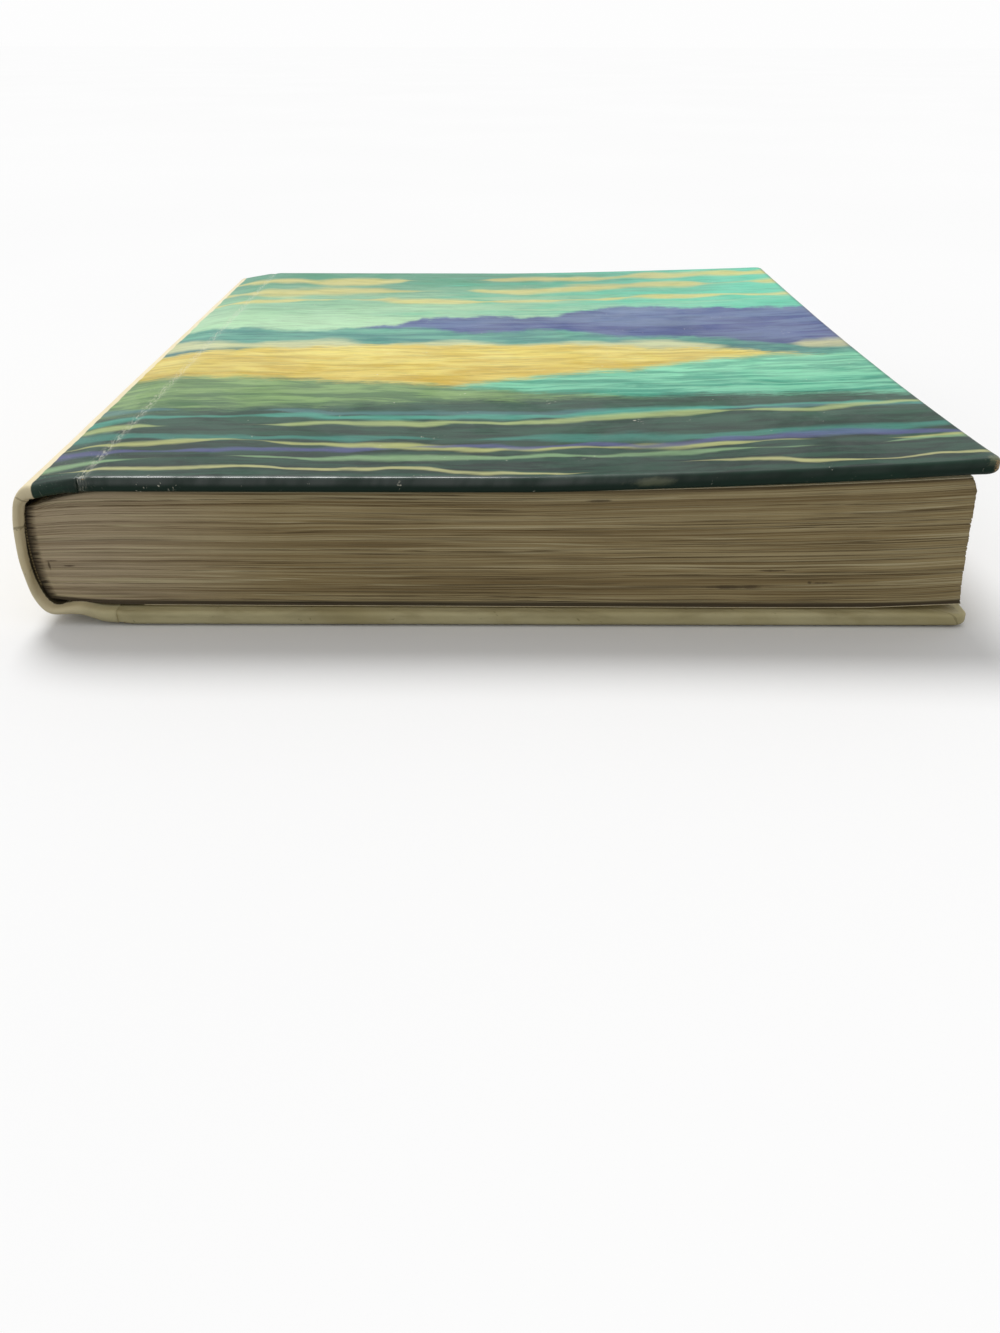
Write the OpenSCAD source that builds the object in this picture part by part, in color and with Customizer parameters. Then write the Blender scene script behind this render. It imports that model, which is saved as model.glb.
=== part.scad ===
// A case-bound textbook lying on its back cover, with its spine at -X and its tail edge at -Y.
// The front cover has curled up at the fore-edge, most of all at the tail corner, and the
// pages have swollen after it. Lengths are in millimetres.

/* [Covers] */
// Height of both covers along the spine, from tail to head
cover_h = 230; // [180:1:300]
// Width of a cover from its hinge crease to its fore-edge
cover_w = 187.7; // [150:0.1:240]
// Thickness of the board inside a cover
board_t = 2.8; // [2:0.1:4]
// Thickness of the printed sheet that covers the case
sheet_t = 0.45; // [0.3:0.05:0.6]
// Width of the sheet that is turned in round a board
turn_in = 15; // [10:1:25]
// Radius of a cover's corner, seen from above
corner_r = 2.5; // [1.5:0.5:6]
// Margin of bare turn-in that a pastedown leaves at the edges
paste_margin = 5; // [2:0.5:8]
// How far the back cover has slipped out past the front one at the fore-edge
slip = 3.3; // [0:0.1:6]

/* [Curl] */
// Width of the front cover's flat part, from the hinge crease
flat_w = 90; // [60:1:120]
// Lift of the front cover's fore-edge at the head
curl_head = 2.6; // [0:0.1:5]
// Lift of the front cover's fore-edge at the tail
curl_tail = 4; // [0:0.1:8]
// Further lift of the front cover's tail corner, where it is bent up
corner_lift = 0.4; // [0:0.1:2]
// How far the front cover's fore-edge is splayed out towards the tail corner
corner_splay = 3.2; // [0:0.1:4]
// Lift of the lowest pages at the tail's fore-edge corner
foot_curl = 1.2; // [0:0.1:2]

/* [Pages] */
// Thickness of the pages between the boards
pages_t = 26.7; // [18:0.1:45]
// Distance from the covers' head and tail edges to the pages
square_h = 3; // [1:0.1:6]
// Share of that distance that the skewed pages take up at the tail's fore-edge corner
skew_share = 0.4; // [0:0.05:0.7]
// Distance from the back cover's fore-edge to the lowest pages
square_w = 1.6; // [0.5:0.1:5]
// How far the pages lean back towards the spine, from the lowest to the highest
page_lean = 2; // [0:0.1:4]
// How far the topmost pages are drawn back at the fore-edge
top_draw = 1.3; // [0:0.1:3]
// Number of page bundles that show at the edges
bundles = 26; // [12:1:34]
// Depth of the groove between two bundles
groove_d = 0.3; // [0.1:0.05:0.6]
// Distance inside the hinge crease where the pages begin to dip towards the spine
shoulder_w = 6; // [3:0.5:12]

/* [Spine] */
// Width of the front joint, from the hinge crease to the spine's round
joint_w = 11; // [8:0.5:16]
// How far the joint falls from the front cover's face to the spine's round
joint_drop = 1.6; // [0.5:0.1:3]
// Height of the back joint above the back cover's face
joint_rise = 2.1; // [0.5:0.1:3]
// How far the spine is rounded out past the joints
spine_round = 5.8; // [4.5:0.1:9]
// Thickness of the card strip in the spine
inlay_t = 0.6; // [0.4:0.1:1.2]
// Thickness of the cloth lining on the back of the pages
lining_t = 0.3; // [0.2:0.1:0.6]
// Depth of the pressed hinge crease
crease_d = 0.25; // [0.1:0.05:0.5]

/* [Endpapers and clearances] */
// Thickness of an endpaper
paper_t = 0.15; // [0.1:0.01:0.3]
// Film of glue or air between two sheets of one body
film = 0.05; // [0.02:0.01:0.1]
// Clearance between a closed cover and the endpaper under it
cover_gap = 0.2; // [0.1:0.05:0.4]
// Clearance between a cover and the joint beside it
hinge_gap = 0.2; // [0.1:0.05:0.4]

/* [Hidden] */

// Heights of the stack, from the table up
cover_t = sheet_t + board_t;
back_leaf_z = cover_t + film + paper_t + cover_gap;
pages_low = back_leaf_z + paper_t + film;
pages_high = pages_low + pages_t;
front_paste_z = pages_high + film + paper_t + cover_gap;
front_in = front_paste_z + paper_t + film;
front_top = front_in + cover_t;

// Plan of the covers: the front hinge crease is x = 0 and the tail edge is y = 0
back_x = slip;
fold_r = 2 * sheet_t;
mid_x = (cover_w + max(slip, corner_splay) - joint_w - spine_round) / 2;

// Curl of the front cover, and the share of it that the pages follow
curl_power = 1.35;
twist_power = 2;
bend_power = 6;
splay_power = 3.5;
page_follow = 0.62;
curl_steps = 7;

// Round of the spine, a rounded arch between the two joints
arch_power = 2.2;
arch_steps = 20;
joint_power = 1.4;
joint_steps = 6;
joint_front_z = front_top - crease_d - joint_drop;
joint_back_z = crease_d + joint_rise;
arch_mid = (joint_front_z + joint_back_z) / 2;
arch_half = (joint_front_z - joint_back_z) / 2;

// Build-up of the spine, inwards from the outer face
inlay_in = sheet_t + film;
tuck_in = inlay_in + inlay_t + film;
panel_t = tuck_in + sheet_t;
lining_in = panel_t + film;
block_in = lining_in + lining_t + film;
inlay_angle = 62;
lining_angle = 42;
tuck_angle = 45;

// Back of the pages: the arch, narrowed by the spine's build-up
block_round = spine_round - block_in;
block_half = arch_half - block_in;
back_share_high = 0.72;
back_share_low = 0.93;
block_back_x = -joint_w - block_round;
dip_high = pages_high - (arch_mid + back_share_high * block_half);
dip_low = arch_mid - back_share_low * block_half - pages_low;
dip_power = 2;
foot_power = 8;
foot_head_share = 0.5;
fore_x = back_x + cover_w - square_w;

// Grid of the pages: stations along X and Y
shoulder_steps = 4;
flare_steps = 5;
page_rows = 6;
draw_share = 0.9;
draw_power = 1.5;
lean_power = 0.6;
bundle_turn = 137.5;
bundle_jitter = 0.22;
bundle_low_share = 0.5;
fore_jitter = 0.2;

corner_steps = 5;
long_steps = 8;
fold_steps = 3;
round_fn = 48;
cut_over = 1;

function lerp(a, b, u) = a + (b - a) * u;
function flip(list) = [for (i = [len(list) - 1:-1:0]) list[i]];

// Lift of the front cover above its flat part at one point of its plan: the curl, and the bend
// at the tail corner
function along_curl(x) = max(0, (x - flat_w) / (cover_w - flat_w));
function to_tail(y) = 1 - y / cover_h;
function lift(x, y) =
    (curl_head + (curl_tail - curl_head) * pow(to_tail(y), twist_power)) * pow(along_curl(x), curl_power)
    + corner_lift * pow(along_curl(x) * to_tail(y), bend_power);

// Width of the front cover at one height
function width_at(y) = cover_w + corner_splay * pow(to_tail(y), splay_power);

// Distance that a round of radius r takes off an edge, at depth d from the neighbouring edge
function round_off(r, d) =
    let (gone = max(0, r - max(0, d)))
    r - sqrt(r * r - gone * gone);

// Stations from a to b that crowd into the corners of radius r
function end_stations(r) = [for (i = [0:corner_steps]) r * (1 - cos(90 * i / corner_steps))];
function stations(a, b, r) = concat(
    [for (d = end_stations(r)) a + d],
    [for (i = [1:long_steps - 1]) lerp(a + r, b - r, i / long_steps)],
    [for (d = flip(end_stations(r))) b - d]
);

// Stations over a front cover's width: the flat part, then even steps over the curl
function width_stations(x0, x1) = concat([x0], [for (i = [0:curl_steps]) lerp(flat_w, x1, i / curl_steps)]);

// Faces of a closed loft over rings of n points each. A ring runs out along its lower side and
// back along its upper side, so each end is closed by a ladder between the two sides.
function ladder(first, n, turned) = [
    for (i = [0:n / 2 - 2])
        let (a = first + i, b = first + i + 1, c = first + n - 2 - i, d = first + n - 1 - i)
        each turned ? [[a, c, b], [a, d, c]] : [[a, b, c], [a, c, d]]
];
function loft_faces(rings, n) = concat(
    ladder(0, n, true),
    [
        for (r = [0:rings - 2]) for (i = [0:n - 1])
            let (a = r * n + i, b = r * n + (i + 1) % n)
            each [[a, b, b + n], [a, b + n, a + n]]
    ],
    ladder((rings - 1) * n, n, false)
);
module loft(rings) {
    polyhedron([for (ring = rings) each ring], loft_faces(len(rings), len(rings[0])), convexity = 6);
}

// Extrusion of a profile in the X-Z plane from y0 to y1
module along_y(y0, y1) {
    translate([0, y1, 0]) rotate([90, 0, 0]) linear_extrude(y1 - y0) children();
}

// Extrusion of a profile in the Y-Z plane from x0 to x1
module along_x(x0, x1) {
    translate([x0, 0, 0]) rotate([90, 0, 90]) linear_extrude(x1 - x0) children();
}

// Move from the crease's corner to the middle of the whole book's base
module placed() {
    translate([-mid_x, -cover_h / 2, 0]) children();
}

// Rectangle with two rounded corners at its far end
module rounded_end(length, width, r) {
    square([length - r, width]);
    translate([0, r]) square([length, width - 2 * r]);
    for (side = [r, width - r]) translate([length - r, side]) circle(r, $fn = round_fn);
}

// Rectangle with rounded corners at both ends
module rounded_bar(length, width, r) {
    translate([length / 2, 0]) rounded_end(length / 2, width, r);
    translate([length / 2, 0]) mirror([1, 0]) rounded_end(length / 2, width, r);
}

// One ring of a sheet that follows the front cover's curl, from height z0 to z1
function curl_ring(y, x0, x1, z0, z1) =
    let (xs = width_stations(x0, x1))
    concat([for (x = xs) [x, y, z0 + lift(x, y)]], [for (x = flip(xs)) [x, y, z1 + lift(x, y)]]);

// Sheet that follows the curl, with its fore-edge corners rounded by r
module curl_slab(x1, y0, y1, z0, z1, r) {
    loft([
        for (y = stations(y0, y1, r))
            curl_ring(y, hinge_gap, x1 - round_off(r, min(y - y0, y1 - y)), z0, z1)
    ]);
}

// One ring of the wrapped front cover, with its fore-edge folded round the board
function wrap_ring(y) =
    let (
        near = min(y, cover_h - y),
        worn = round_off(fold_r, near),
        r = fold_r - worn + film,
        x1 = width_at(y) - round_off(corner_r, near),
        z0 = front_in + worn,
        z1 = front_top - worn,
        xs = width_stations(hinge_gap, x1 - r),
        turn = [for (i = [1:fold_steps]) 90 * i / fold_steps]
    )
    concat(
        [for (x = xs) [x, y, z0 + lift(x, y)]],
        [for (a = turn) let (x = x1 - r + r * sin(a)) [x, y, z0 + r - r * cos(a) + lift(x, y)]],
        [for (a = flip(turn)) let (x = x1 - r + r * sin(a)) [x, y, z1 - r + r * cos(a) + lift(x, y)]],
        [for (x = flip(xs)) [x, y, z1 + lift(x, y)]]
    );

// Point of the spine's arch at angle a and depth d under its outer face
function arch_point(a, d) = [
    -joint_w - (spine_round - d) * pow(cos(a), 2 / arch_power),
    arch_mid + (arch_half - d) * sign(sin(a)) * pow(abs(sin(a)), 2 / arch_power)
];
function arch_angles(arc) = [for (i = [0:arch_steps]) arc - 2 * arc * i / arch_steps];
function arch_line(arc, d) = [for (a = arch_angles(arc)) arch_point(a, d)];

// Line of the case from the front crease over the spine to the back crease. It lies crease_in deep
// from the front crease to the arch's shoulder, arch_in deep under the arch, and crease_in deep
// again at the back crease.
function shoulder_share_at(a) = let (u = max(0, (a - tuck_angle) / (90 - tuck_angle))) u * u * (3 - 2 * u);
function case_line(crease_in, arch_in) = concat(
    [
        for (i = [0:joint_steps - 1])
            let (u = i / joint_steps, z = front_top - crease_d - joint_drop * pow(u, joint_power))
            [-joint_w * u, z - crease_in]
    ],
    [for (a = arch_angles(90)) arch_point(a, lerp(arch_in, crease_in, shoulder_share_at(a)))],
    [
        for (i = [1:joint_steps])
            let (u = i / joint_steps, z = crease_d + joint_rise * (1 + cos(180 * u)) / 2)
            [lerp(-joint_w, back_x, u), z + lerp(arch_in, crease_in, u)]
    ]
);

// Band between two lines with as many points
module band(outer, inner) {
    polygon(concat(outer, flip(inner)));
}

// Lowest and highest surface of the pages at one point of their plan
function dip(x) = pow(min(1, max(0, (shoulder_w - x) / (shoulder_w - dip_end_x))), dip_power);
function pages_foot(x, y) =
    let (along = max(0, (x - flat_w) / (fore_x - flat_w)), tail = lerp(1, foot_head_share, y / cover_h))
    pages_low + dip_low * dip(x) + foot_curl * tail * pow(along, foot_power);
function pages_head(x, y) = pages_high - dip_high * dip(x) + page_follow * lift(x, y);

// Back and fore-edge of the pages at share t of their thickness
function back_at(t) =
    let (z = lerp(-back_share_low, back_share_high, t))
    -joint_w - block_round * pow(1 - pow(abs(z), arch_power), 1 / arch_power);
function fore_at(t) =
    let (drawn = max(0, (t - draw_share) / (1 - draw_share)))
    fore_x - page_lean * pow(t, lean_power) - top_draw * pow(drawn, draw_power)
    + fore_jitter * sin(bundle_turn * floor(t * bundles));

// Shares of the pages' width: the shoulder, the flat part and the flare
dip_end_x = max(back_at(0), back_at(1));
shoulder_share = (shoulder_w - block_back_x) / (fore_x - block_back_x);
flat_share = (flat_w - block_back_x) / (fore_x - block_back_x);
page_shares = concat(
    [for (i = [0:shoulder_steps]) shoulder_share * i / shoulder_steps],
    [for (i = [0:flare_steps]) lerp(flat_share, 1, i / flare_steps)]
);
page_count = len(page_shares);

// One point of the pages at share u of the width, v of the height and t of the thickness
function page_point(u, v, t, groove) =
    let (
        x = lerp(back_at(t), fore_at(t) - groove, u),
        y = lerp(square_h * (1 - skew_share * u) + groove, cover_h - square_h - groove, v)
    )
    [x, y, lerp(pages_foot(x, y), pages_head(x, y), t)];

// Rim of the pages at one level: tail edge, fore-edge, head edge and back
function page_rim(t, groove) = concat(
    [for (i = [0:page_count - 1]) page_point(page_shares[i], 0, t, groove)],
    [for (j = [1:page_rows - 1]) page_point(1, j / page_rows, t, groove)],
    [for (i = [page_count - 1:-1:0]) page_point(page_shares[i], 1, t, groove)],
    [for (j = [page_rows - 1:-1:1]) page_point(0, j / page_rows, t, groove)]
);
rim_count = 2 * page_count + 2 * page_rows - 2;

// Levels of the pages: a crest in each bundle and a groove between two bundles
function bundle_top(i) = (i + bundle_jitter * sin(bundle_turn * i)) / bundles;
function bundle_groove(i) = groove_d * lerp(bundle_low_share, 1, abs(sin(bundle_turn * i)));
page_levels = concat(
    [[0, 0]],
    [
        for (i = [1:bundles - 1])
            each [[(bundle_top(i - 1) + bundle_top(i)) / 2, 0], [bundle_top(i), bundle_groove(i)]]
    ],
    [[(bundle_top(bundles - 1) + 1) / 2, 0], [1, 0]]
);

// Inner points of the lowest and the highest page
function page_field(t) = [
    for (i = [1:page_count - 2]) for (j = [1:page_rows - 1]) page_point(page_shares[i], j / page_rows, t, 0)
];
field_count = (page_count - 2) * (page_rows - 1);

// Place of grid point i, j in a page's rim, or in its field
function on_rim(i, j) =
    j == 0 ? i
    : j == page_rows ? 2 * page_count + page_rows - 2 - i
    : i == page_count - 1 ? page_count + j - 1
    : rim_count - j;
function in_field(i, j) = i > 0 && i < page_count - 1 && j > 0 && j < page_rows;
function page_index(rim, field, i, j) =
    in_field(i, j) ? field + (i - 1) * (page_rows - 1) + j - 1 : rim + on_rim(i, j);
function page_faces(rim, field, up) = [
    for (i = [0:page_count - 2]) for (j = [0:page_rows - 1])
        let (
            a = page_index(rim, field, i, j),
            b = page_index(rim, field, i + 1, j),
            c = page_index(rim, field, i + 1, j + 1),
            d = page_index(rim, field, i, j + 1)
        )
        each up ? [[a, c, b], [a, d, c]] : [[a, b, c], [a, c, d]]
];

module text_block() {
    color("#8c7c5c") placed() {
        levels = len(page_levels);
        low_field = levels * rim_count;
        high_field = low_field + field_count;
        side = [
            for (k = [0:levels - 2]) for (i = [0:rim_count - 1])
                let (a = k * rim_count + i, b = k * rim_count + (i + 1) % rim_count)
                each [[a, b + rim_count, b], [a, a + rim_count, b + rim_count]]
        ];
        polyhedron(
            concat(
                [for (level = page_levels) each page_rim(level[0], level[1])],
                page_field(0),
                page_field(1)
            ),
            concat(
                page_faces(0, low_field, false),
                side,
                page_faces((levels - 1) * rim_count, high_field, true)
            ),
            convexity = 6
        );
    }
}

// Free endpaper on the lowest (t = 0) or the highest (t = 1) page, outside it by the film of air
module flyleaf(t) {
    outward = t == 0 ? -1 : 1;
    near = film * outward;
    far = (film + paper_t) * outward;
    rows = [for (j = [0:page_rows]) j / page_rows];
    rings = [
        for (i = [shoulder_steps:page_count - 1])
            let (row = [for (v = rows) page_point(page_shares[i], v, t, 0)])
            concat(
                [for (point = row) point + [0, 0, min(near, far)]],
                [for (point = flip(row)) point + [0, 0, max(near, far)]]
            )
    ];
    loft(flip(rings));
}

module front_flyleaf() {
    color("#e6dcc0") placed() flyleaf(1);
}

module back_flyleaf() {
    color("#e6dcc0") placed() flyleaf(0);
}

module spine_lining() {
    color("#d9d2bd") placed() along_y(square_h, cover_h - square_h)
        band(arch_line(lining_angle, lining_in), arch_line(lining_angle, lining_in + lining_t));
}

module spine_inlay() {
    color("#a9906b") placed() along_y(sheet_t + film, cover_h - sheet_t - film)
        band(arch_line(inlay_angle, inlay_in), arch_line(inlay_angle, inlay_in + inlay_t));
}

// Sheet over the spine and both joints. At the head and tail it is folded in: to a board's
// thickness beside the creases, and round the card strip at the spine.
module spine_covering() {
    outer = case_line(0, 0);
    tucked = case_line(cover_t, panel_t);
    color("#e9e3c2") placed() {
        along_y(0, cover_h) band(outer, case_line(sheet_t, sheet_t));
        for (end = [[0, sheet_t], [cover_h - sheet_t, cover_h]])
            along_y(end[0], end[1]) band(outer, tucked);
        for (end = [[0, turn_in], [cover_h - turn_in, cover_h]])
            along_y(end[0], end[1]) band(case_line(cover_t - sheet_t, tuck_in), tucked);
    }
}

// One ring of the front board. Its inner face is pressed in where the turn-ins lie, by their
// thickness and with a slope as wide as that, and its middle reaches down to height z_in.
function front_board_ring(y, x0, z_in) =
    let (
        x_step = cover_w - turn_in,
        near = min(y, cover_h - y),
        x1 = width_at(y) - sheet_t - round_off(corner_r - sheet_t, near - sheet_t),
        xs = concat(width_stations(x0, x_step - sheet_t), [x_step, x1]),
        middle = near > turn_in
    )
    concat(
        [for (x = xs) [x, y, (middle && x < x_step ? z_in : front_in + sheet_t) + lift(x, y)]],
        [for (x = flip(xs)) [x, y, front_top - sheet_t + lift(x, y)]]
    );
module front_board_body(x0, z_in) {
    corner = [for (d = end_stations(corner_r - sheet_t)) sheet_t + d];
    inside = turn_in + sheet_t;
    tail_half = concat(corner, [turn_in, inside]);
    between = [for (i = [1:long_steps - 1]) lerp(inside, cover_h - inside, i / long_steps)];
    head_half = [for (y = flip(tail_half)) cover_h - y];
    loft([for (y = concat(tail_half, between, head_half)) front_board_ring(y, x0, z_in)]);
}

module front_board() {
    color("#b59a6e") placed() front_board_body(hinge_gap, front_in);
}

module front_covering() {
    color("#2f6f66") placed() difference() {
        loft([for (y = stations(0, cover_h, corner_r)) wrap_ring(y)]);
        front_board_body(hinge_gap - cut_over, front_in - cut_over);
    }
}

module front_pastedown() {
    color("#e6dcc0") placed()
        curl_slab(
            cover_w - paste_margin, paste_margin, cover_h - paste_margin,
            front_paste_z, front_paste_z + paper_t, corner_r
        );
}

// Plan of the back cover, moved in from its outer edges
module back_plan(margin, r) {
    translate([back_x + hinge_gap, margin])
        rounded_end(cover_w - hinge_gap - margin, cover_h - 2 * margin, r);
}
module back_board_area() {
    translate([0, 0, sheet_t]) linear_extrude(board_t - sheet_t) back_plan(sheet_t, corner_r - sheet_t);
}
module back_board_middle(over) {
    translate([0, 0, cover_t - fold_r]) linear_extrude(fold_r + over) back_plan(turn_in, corner_r);
}

module back_board() {
    color("#b59a6e") placed() {
        back_board_area();
        back_board_middle(0);
    }
}

module back_covering() {
    color("#e9e3c2") placed() difference() {
        intersection() {
            linear_extrude(cover_t) back_plan(0, corner_r);
            along_y(0, cover_h) translate([back_x, 0]) rounded_end(cover_w, cover_t, fold_r);
            along_x(back_x, back_x + cover_w) rounded_bar(cover_h, cover_t, fold_r);
        }
        back_board_area();
        back_board_middle(cut_over);
    }
}

module back_pastedown() {
    color("#e6dcc0") placed() translate([0, 0, cover_t + film])
        linear_extrude(paper_t) back_plan(paste_margin, corner_r);
}

text_block();
front_flyleaf();
back_flyleaf();
spine_lining();
spine_inlay();
spine_covering();
front_board();
front_covering();
front_pastedown();
back_board();
back_covering();
back_pastedown();
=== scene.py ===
"""A case-bound textbook with a curled front cover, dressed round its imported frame.

The book lies on its back cover with its spine at -X and its tail edge at -Y. Shapes are worked out
in millimetres from the front hinge crease and the tail edge, and placed in metres.
"""

import logging
import math
from dataclasses import dataclass, field
from enum import Enum
from typing import Sequence, Union

import bpy
import numpy as np
from mathutils import Euler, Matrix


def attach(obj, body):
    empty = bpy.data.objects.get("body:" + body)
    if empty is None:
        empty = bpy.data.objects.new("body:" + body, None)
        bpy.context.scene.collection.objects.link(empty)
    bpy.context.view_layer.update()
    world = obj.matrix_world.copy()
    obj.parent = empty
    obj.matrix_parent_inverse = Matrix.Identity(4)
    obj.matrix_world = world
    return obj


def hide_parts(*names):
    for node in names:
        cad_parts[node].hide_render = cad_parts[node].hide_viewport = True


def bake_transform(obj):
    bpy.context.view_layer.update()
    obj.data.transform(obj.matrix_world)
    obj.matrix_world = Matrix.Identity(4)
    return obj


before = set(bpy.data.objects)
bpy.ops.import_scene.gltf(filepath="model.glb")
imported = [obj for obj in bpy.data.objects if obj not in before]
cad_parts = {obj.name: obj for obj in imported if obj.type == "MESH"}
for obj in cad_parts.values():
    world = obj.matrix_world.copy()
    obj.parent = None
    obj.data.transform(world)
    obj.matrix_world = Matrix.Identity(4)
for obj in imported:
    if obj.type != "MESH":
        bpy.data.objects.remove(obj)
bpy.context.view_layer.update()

LOG = logging.getLogger("textbook")
Array = np.ndarray
Socket = bpy.types.NodeSocket
Value = Union[Socket, float, Sequence[float]]

MM = 0.001
UV_UNIT = 230.0


class Body(Enum):
    """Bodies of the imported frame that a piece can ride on."""

    BLOCK = "book_block"
    FRONT = "front_cover"
    BACK = "back_cover"


class Face(Enum):
    """Which way a cover's outer face looks. The value is the way from there to the inner face."""

    UP = -1.0
    DOWN = 1.0


def linear(code: str) -> tuple[float, float, float, float]:
    """Turn a screen colour into the linear colour that a shader reads.

    Args:
        code: The colour as #rrggbb.

    Returns:
        Linear red, green, blue and an alpha of 1.
    """
    parts = [int(code[i:i + 2], 16) / 255 for i in (1, 3, 5)]
    red, green, blue = [c / 12.92 if c <= 0.04045 else ((c + 0.055) / 1.055) ** 2.4 for c in parts]
    return red, green, blue, 1.0


def smooth(low: float, high: float, value: Array) -> Array:
    """Rise smoothly from 0 to 1 between low and high: 3u^2 - 2u^3 of the clipped share u."""
    u = np.clip((value - low) / (high - low), 0.0, 1.0)
    return u * u * (3 - 2 * u)


@dataclass(frozen=True)
class Ripple:
    """Smooth seeded unevenness over a plane, from -1 to 1.

    Random values on a lattice of the given cell sizes are joined by smooth steps in both directions.
    """

    seed: int
    cell_x: float
    cell_y: float
    lattice: int = 97

    def at(self, x: Array, y: Array) -> Array:
        """Read the unevenness at points.

        Args:
            x: First coordinates, in the unit of cell_x.
            y: Second coordinates, in the unit of cell_y.

        Returns:
            One value for each point.
        """
        table = np.random.default_rng(self.seed).uniform(-1, 1, (self.lattice, self.lattice))
        px, py = np.broadcast_arrays(x / self.cell_x, y / self.cell_y)
        ix, iy = np.floor(px).astype(int), np.floor(py).astype(int)
        fx, fy = smooth(0, 1, px - ix), smooth(0, 1, py - iy)
        n = self.lattice
        a, b = table[ix % n, iy % n], table[(ix + 1) % n, iy % n]
        c, d = table[ix % n, (iy + 1) % n], table[(ix + 1) % n, (iy + 1) % n]
        return (a * (1 - fx) + b * fx) * (1 - fy) + (c * (1 - fx) + d * fx) * fy


@dataclass(frozen=True)
class BookSizes:
    """Sizes of the book in millimetres, the same as its solids have."""

    cover_h: float = 230.0
    cover_w: float = 187.7
    cover_t: float = 3.25
    sheet_t: float = 0.45
    turn_in: float = 15.0
    slip: float = 3.3
    front_top: float = 34.4
    mid_x: float = 87.1
    flat_w: float = 90.0
    curl_head: float = 2.6
    curl_tail: float = 4.0
    curl_power: float = 1.35
    twist_power: float = 2.0
    corner_lift: float = 0.4
    bend_power: float = 6.0
    corner_splay: float = 3.2
    splay_power: float = 3.5
    joint_w: float = 11.0
    joint_drop: float = 1.6
    joint_power: float = 1.4
    joint_rise: float = 2.1
    crease_d: float = 0.25
    spine_round: float = 5.8
    arch_power: float = 2.2
    panel_t: float = 1.6
    tuck_angle: float = 45.0
    block_in: float = 2.0
    pages_low: float = 3.85
    pages_t: float = 26.7
    square_h: float = 3.0
    skew_share: float = 0.4
    square_w: float = 1.6
    page_lean: float = 2.0
    lean_power: float = 0.6
    top_draw: float = 1.3
    draw_share: float = 0.9
    draw_power: float = 1.5
    foot_curl: float = 1.2
    foot_power: float = 8.0
    foot_head_share: float = 0.5
    shoulder_w: float = 6.0
    dip_power: float = 2.0
    back_share_high: float = 0.72
    back_share_low: float = 0.93

    @property
    def arch_top(self) -> float:
        """Height where the front joint meets the spine's round."""
        return self.front_top - self.crease_d - self.joint_drop

    @property
    def arch_foot(self) -> float:
        """Height where the back joint meets the spine's round."""
        return self.crease_d + self.joint_rise

    @property
    def arch_mid(self) -> float:
        """Height of the middle of the spine's round."""
        return (self.arch_top + self.arch_foot) / 2

    @property
    def arch_half(self) -> float:
        """Half of the height of the spine's round."""
        return (self.arch_top - self.arch_foot) / 2

    @property
    def fore_x(self) -> float:
        """Where the lowest pages end at the fore-edge."""
        return self.slip + self.cover_w - self.square_w

    def to_tail(self, y: Array) -> Array:
        """Share of the way from the head to the tail."""
        return np.clip(1 - y / self.cover_h, 0.0, 1.0)

    def lift(self, x: Array, y: Array) -> Array:
        """Rise of the front cover: a power of the way along the curl, more at the tail, and its bent corner.

        Args:
            x: Distance from the crease.
            y: Distance from the tail edge.

        Returns:
            Heights over the flat part.
        """
        along = np.maximum(0, (x - self.flat_w) / (self.cover_w - self.flat_w))
        tail = self.to_tail(y)
        curl = self.curl_head + (self.curl_tail - self.curl_head) * tail ** self.twist_power
        return curl * along ** self.curl_power + self.corner_lift * (along * tail) ** self.bend_power

    def page_tail(self, u: Array) -> Array:
        """Where the pages' skewed tail edge lies, at shares of the way to the fore-edge."""
        return self.square_h * (1 - self.skew_share * u)

    def splay(self, y: Array) -> Array:
        """How far the front cover's fore-edge stands out, a power of the way to the tail."""
        return self.corner_splay * self.to_tail(y) ** self.splay_power


SIZES = BookSizes()


def grid_faces(index: Array) -> Array:
    """Join a grid of point numbers into four-sided faces.

    Args:
        index: Point numbers in rows and columns. Rows run along the first direction.

    Returns:
        One row of four point numbers for each face, turned so that rows x columns points outwards.
    """
    return np.stack([index[:-1, :-1], index[1:, :-1], index[1:, 1:], index[:-1, 1:]], axis=-1).reshape(-1, 4)


@dataclass
class Skin:
    """Points, faces and values of one surface, in millimetres from the crease and the tail edge."""

    points: Array
    faces: Array
    uv: Array
    values: dict[str, Array] = field(default_factory=dict)

    def build(self, name: str) -> bpy.types.Object:
        """Make the mesh object, placed in metres in the part's frame.

        Args:
            name: Name of the piece.

        Returns:
            The object, linked to the scene, with its UV map and point values.
        """
        mesh = bpy.data.meshes.new(name)
        shift = np.array([SIZES.mid_x, SIZES.cover_h / 2, 0.0])
        mesh.from_pydata(((self.points - shift) * MM).tolist(), [], self.faces.tolist())
        mesh.update()
        layer = mesh.uv_layers.new(name="UVMap")
        corners = np.empty(len(mesh.loops), dtype=np.int32)
        mesh.loops.foreach_get("vertex_index", corners)
        layer.data.foreach_set("uv", (self.uv[corners] / UV_UNIT).astype(np.float32).ravel())
        for key, numbers in self.values.items():
            mesh.attributes.new(key, "FLOAT", "POINT").data.foreach_set("value", numbers.astype(np.float32))
        mesh.polygons.foreach_set("use_smooth", np.ones(len(mesh.polygons), dtype=bool))
        made = bpy.data.objects.new(name, mesh)
        bpy.context.scene.collection.objects.link(made)
        return made


def thicken(piece: bpy.types.Object, thickness: float) -> None:
    """Give a sheet its thickness, inwards from its outer face.

    Args:
        piece: The sheet.
        thickness: Thickness in millimetres.
    """
    wall = piece.modifiers.new("sheet thickness", "SOLIDIFY")
    wall.thickness = thickness * MM
    wall.offset = -1.0
    wall.use_even_offset = False
    wall.use_quality_normals = True


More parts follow.
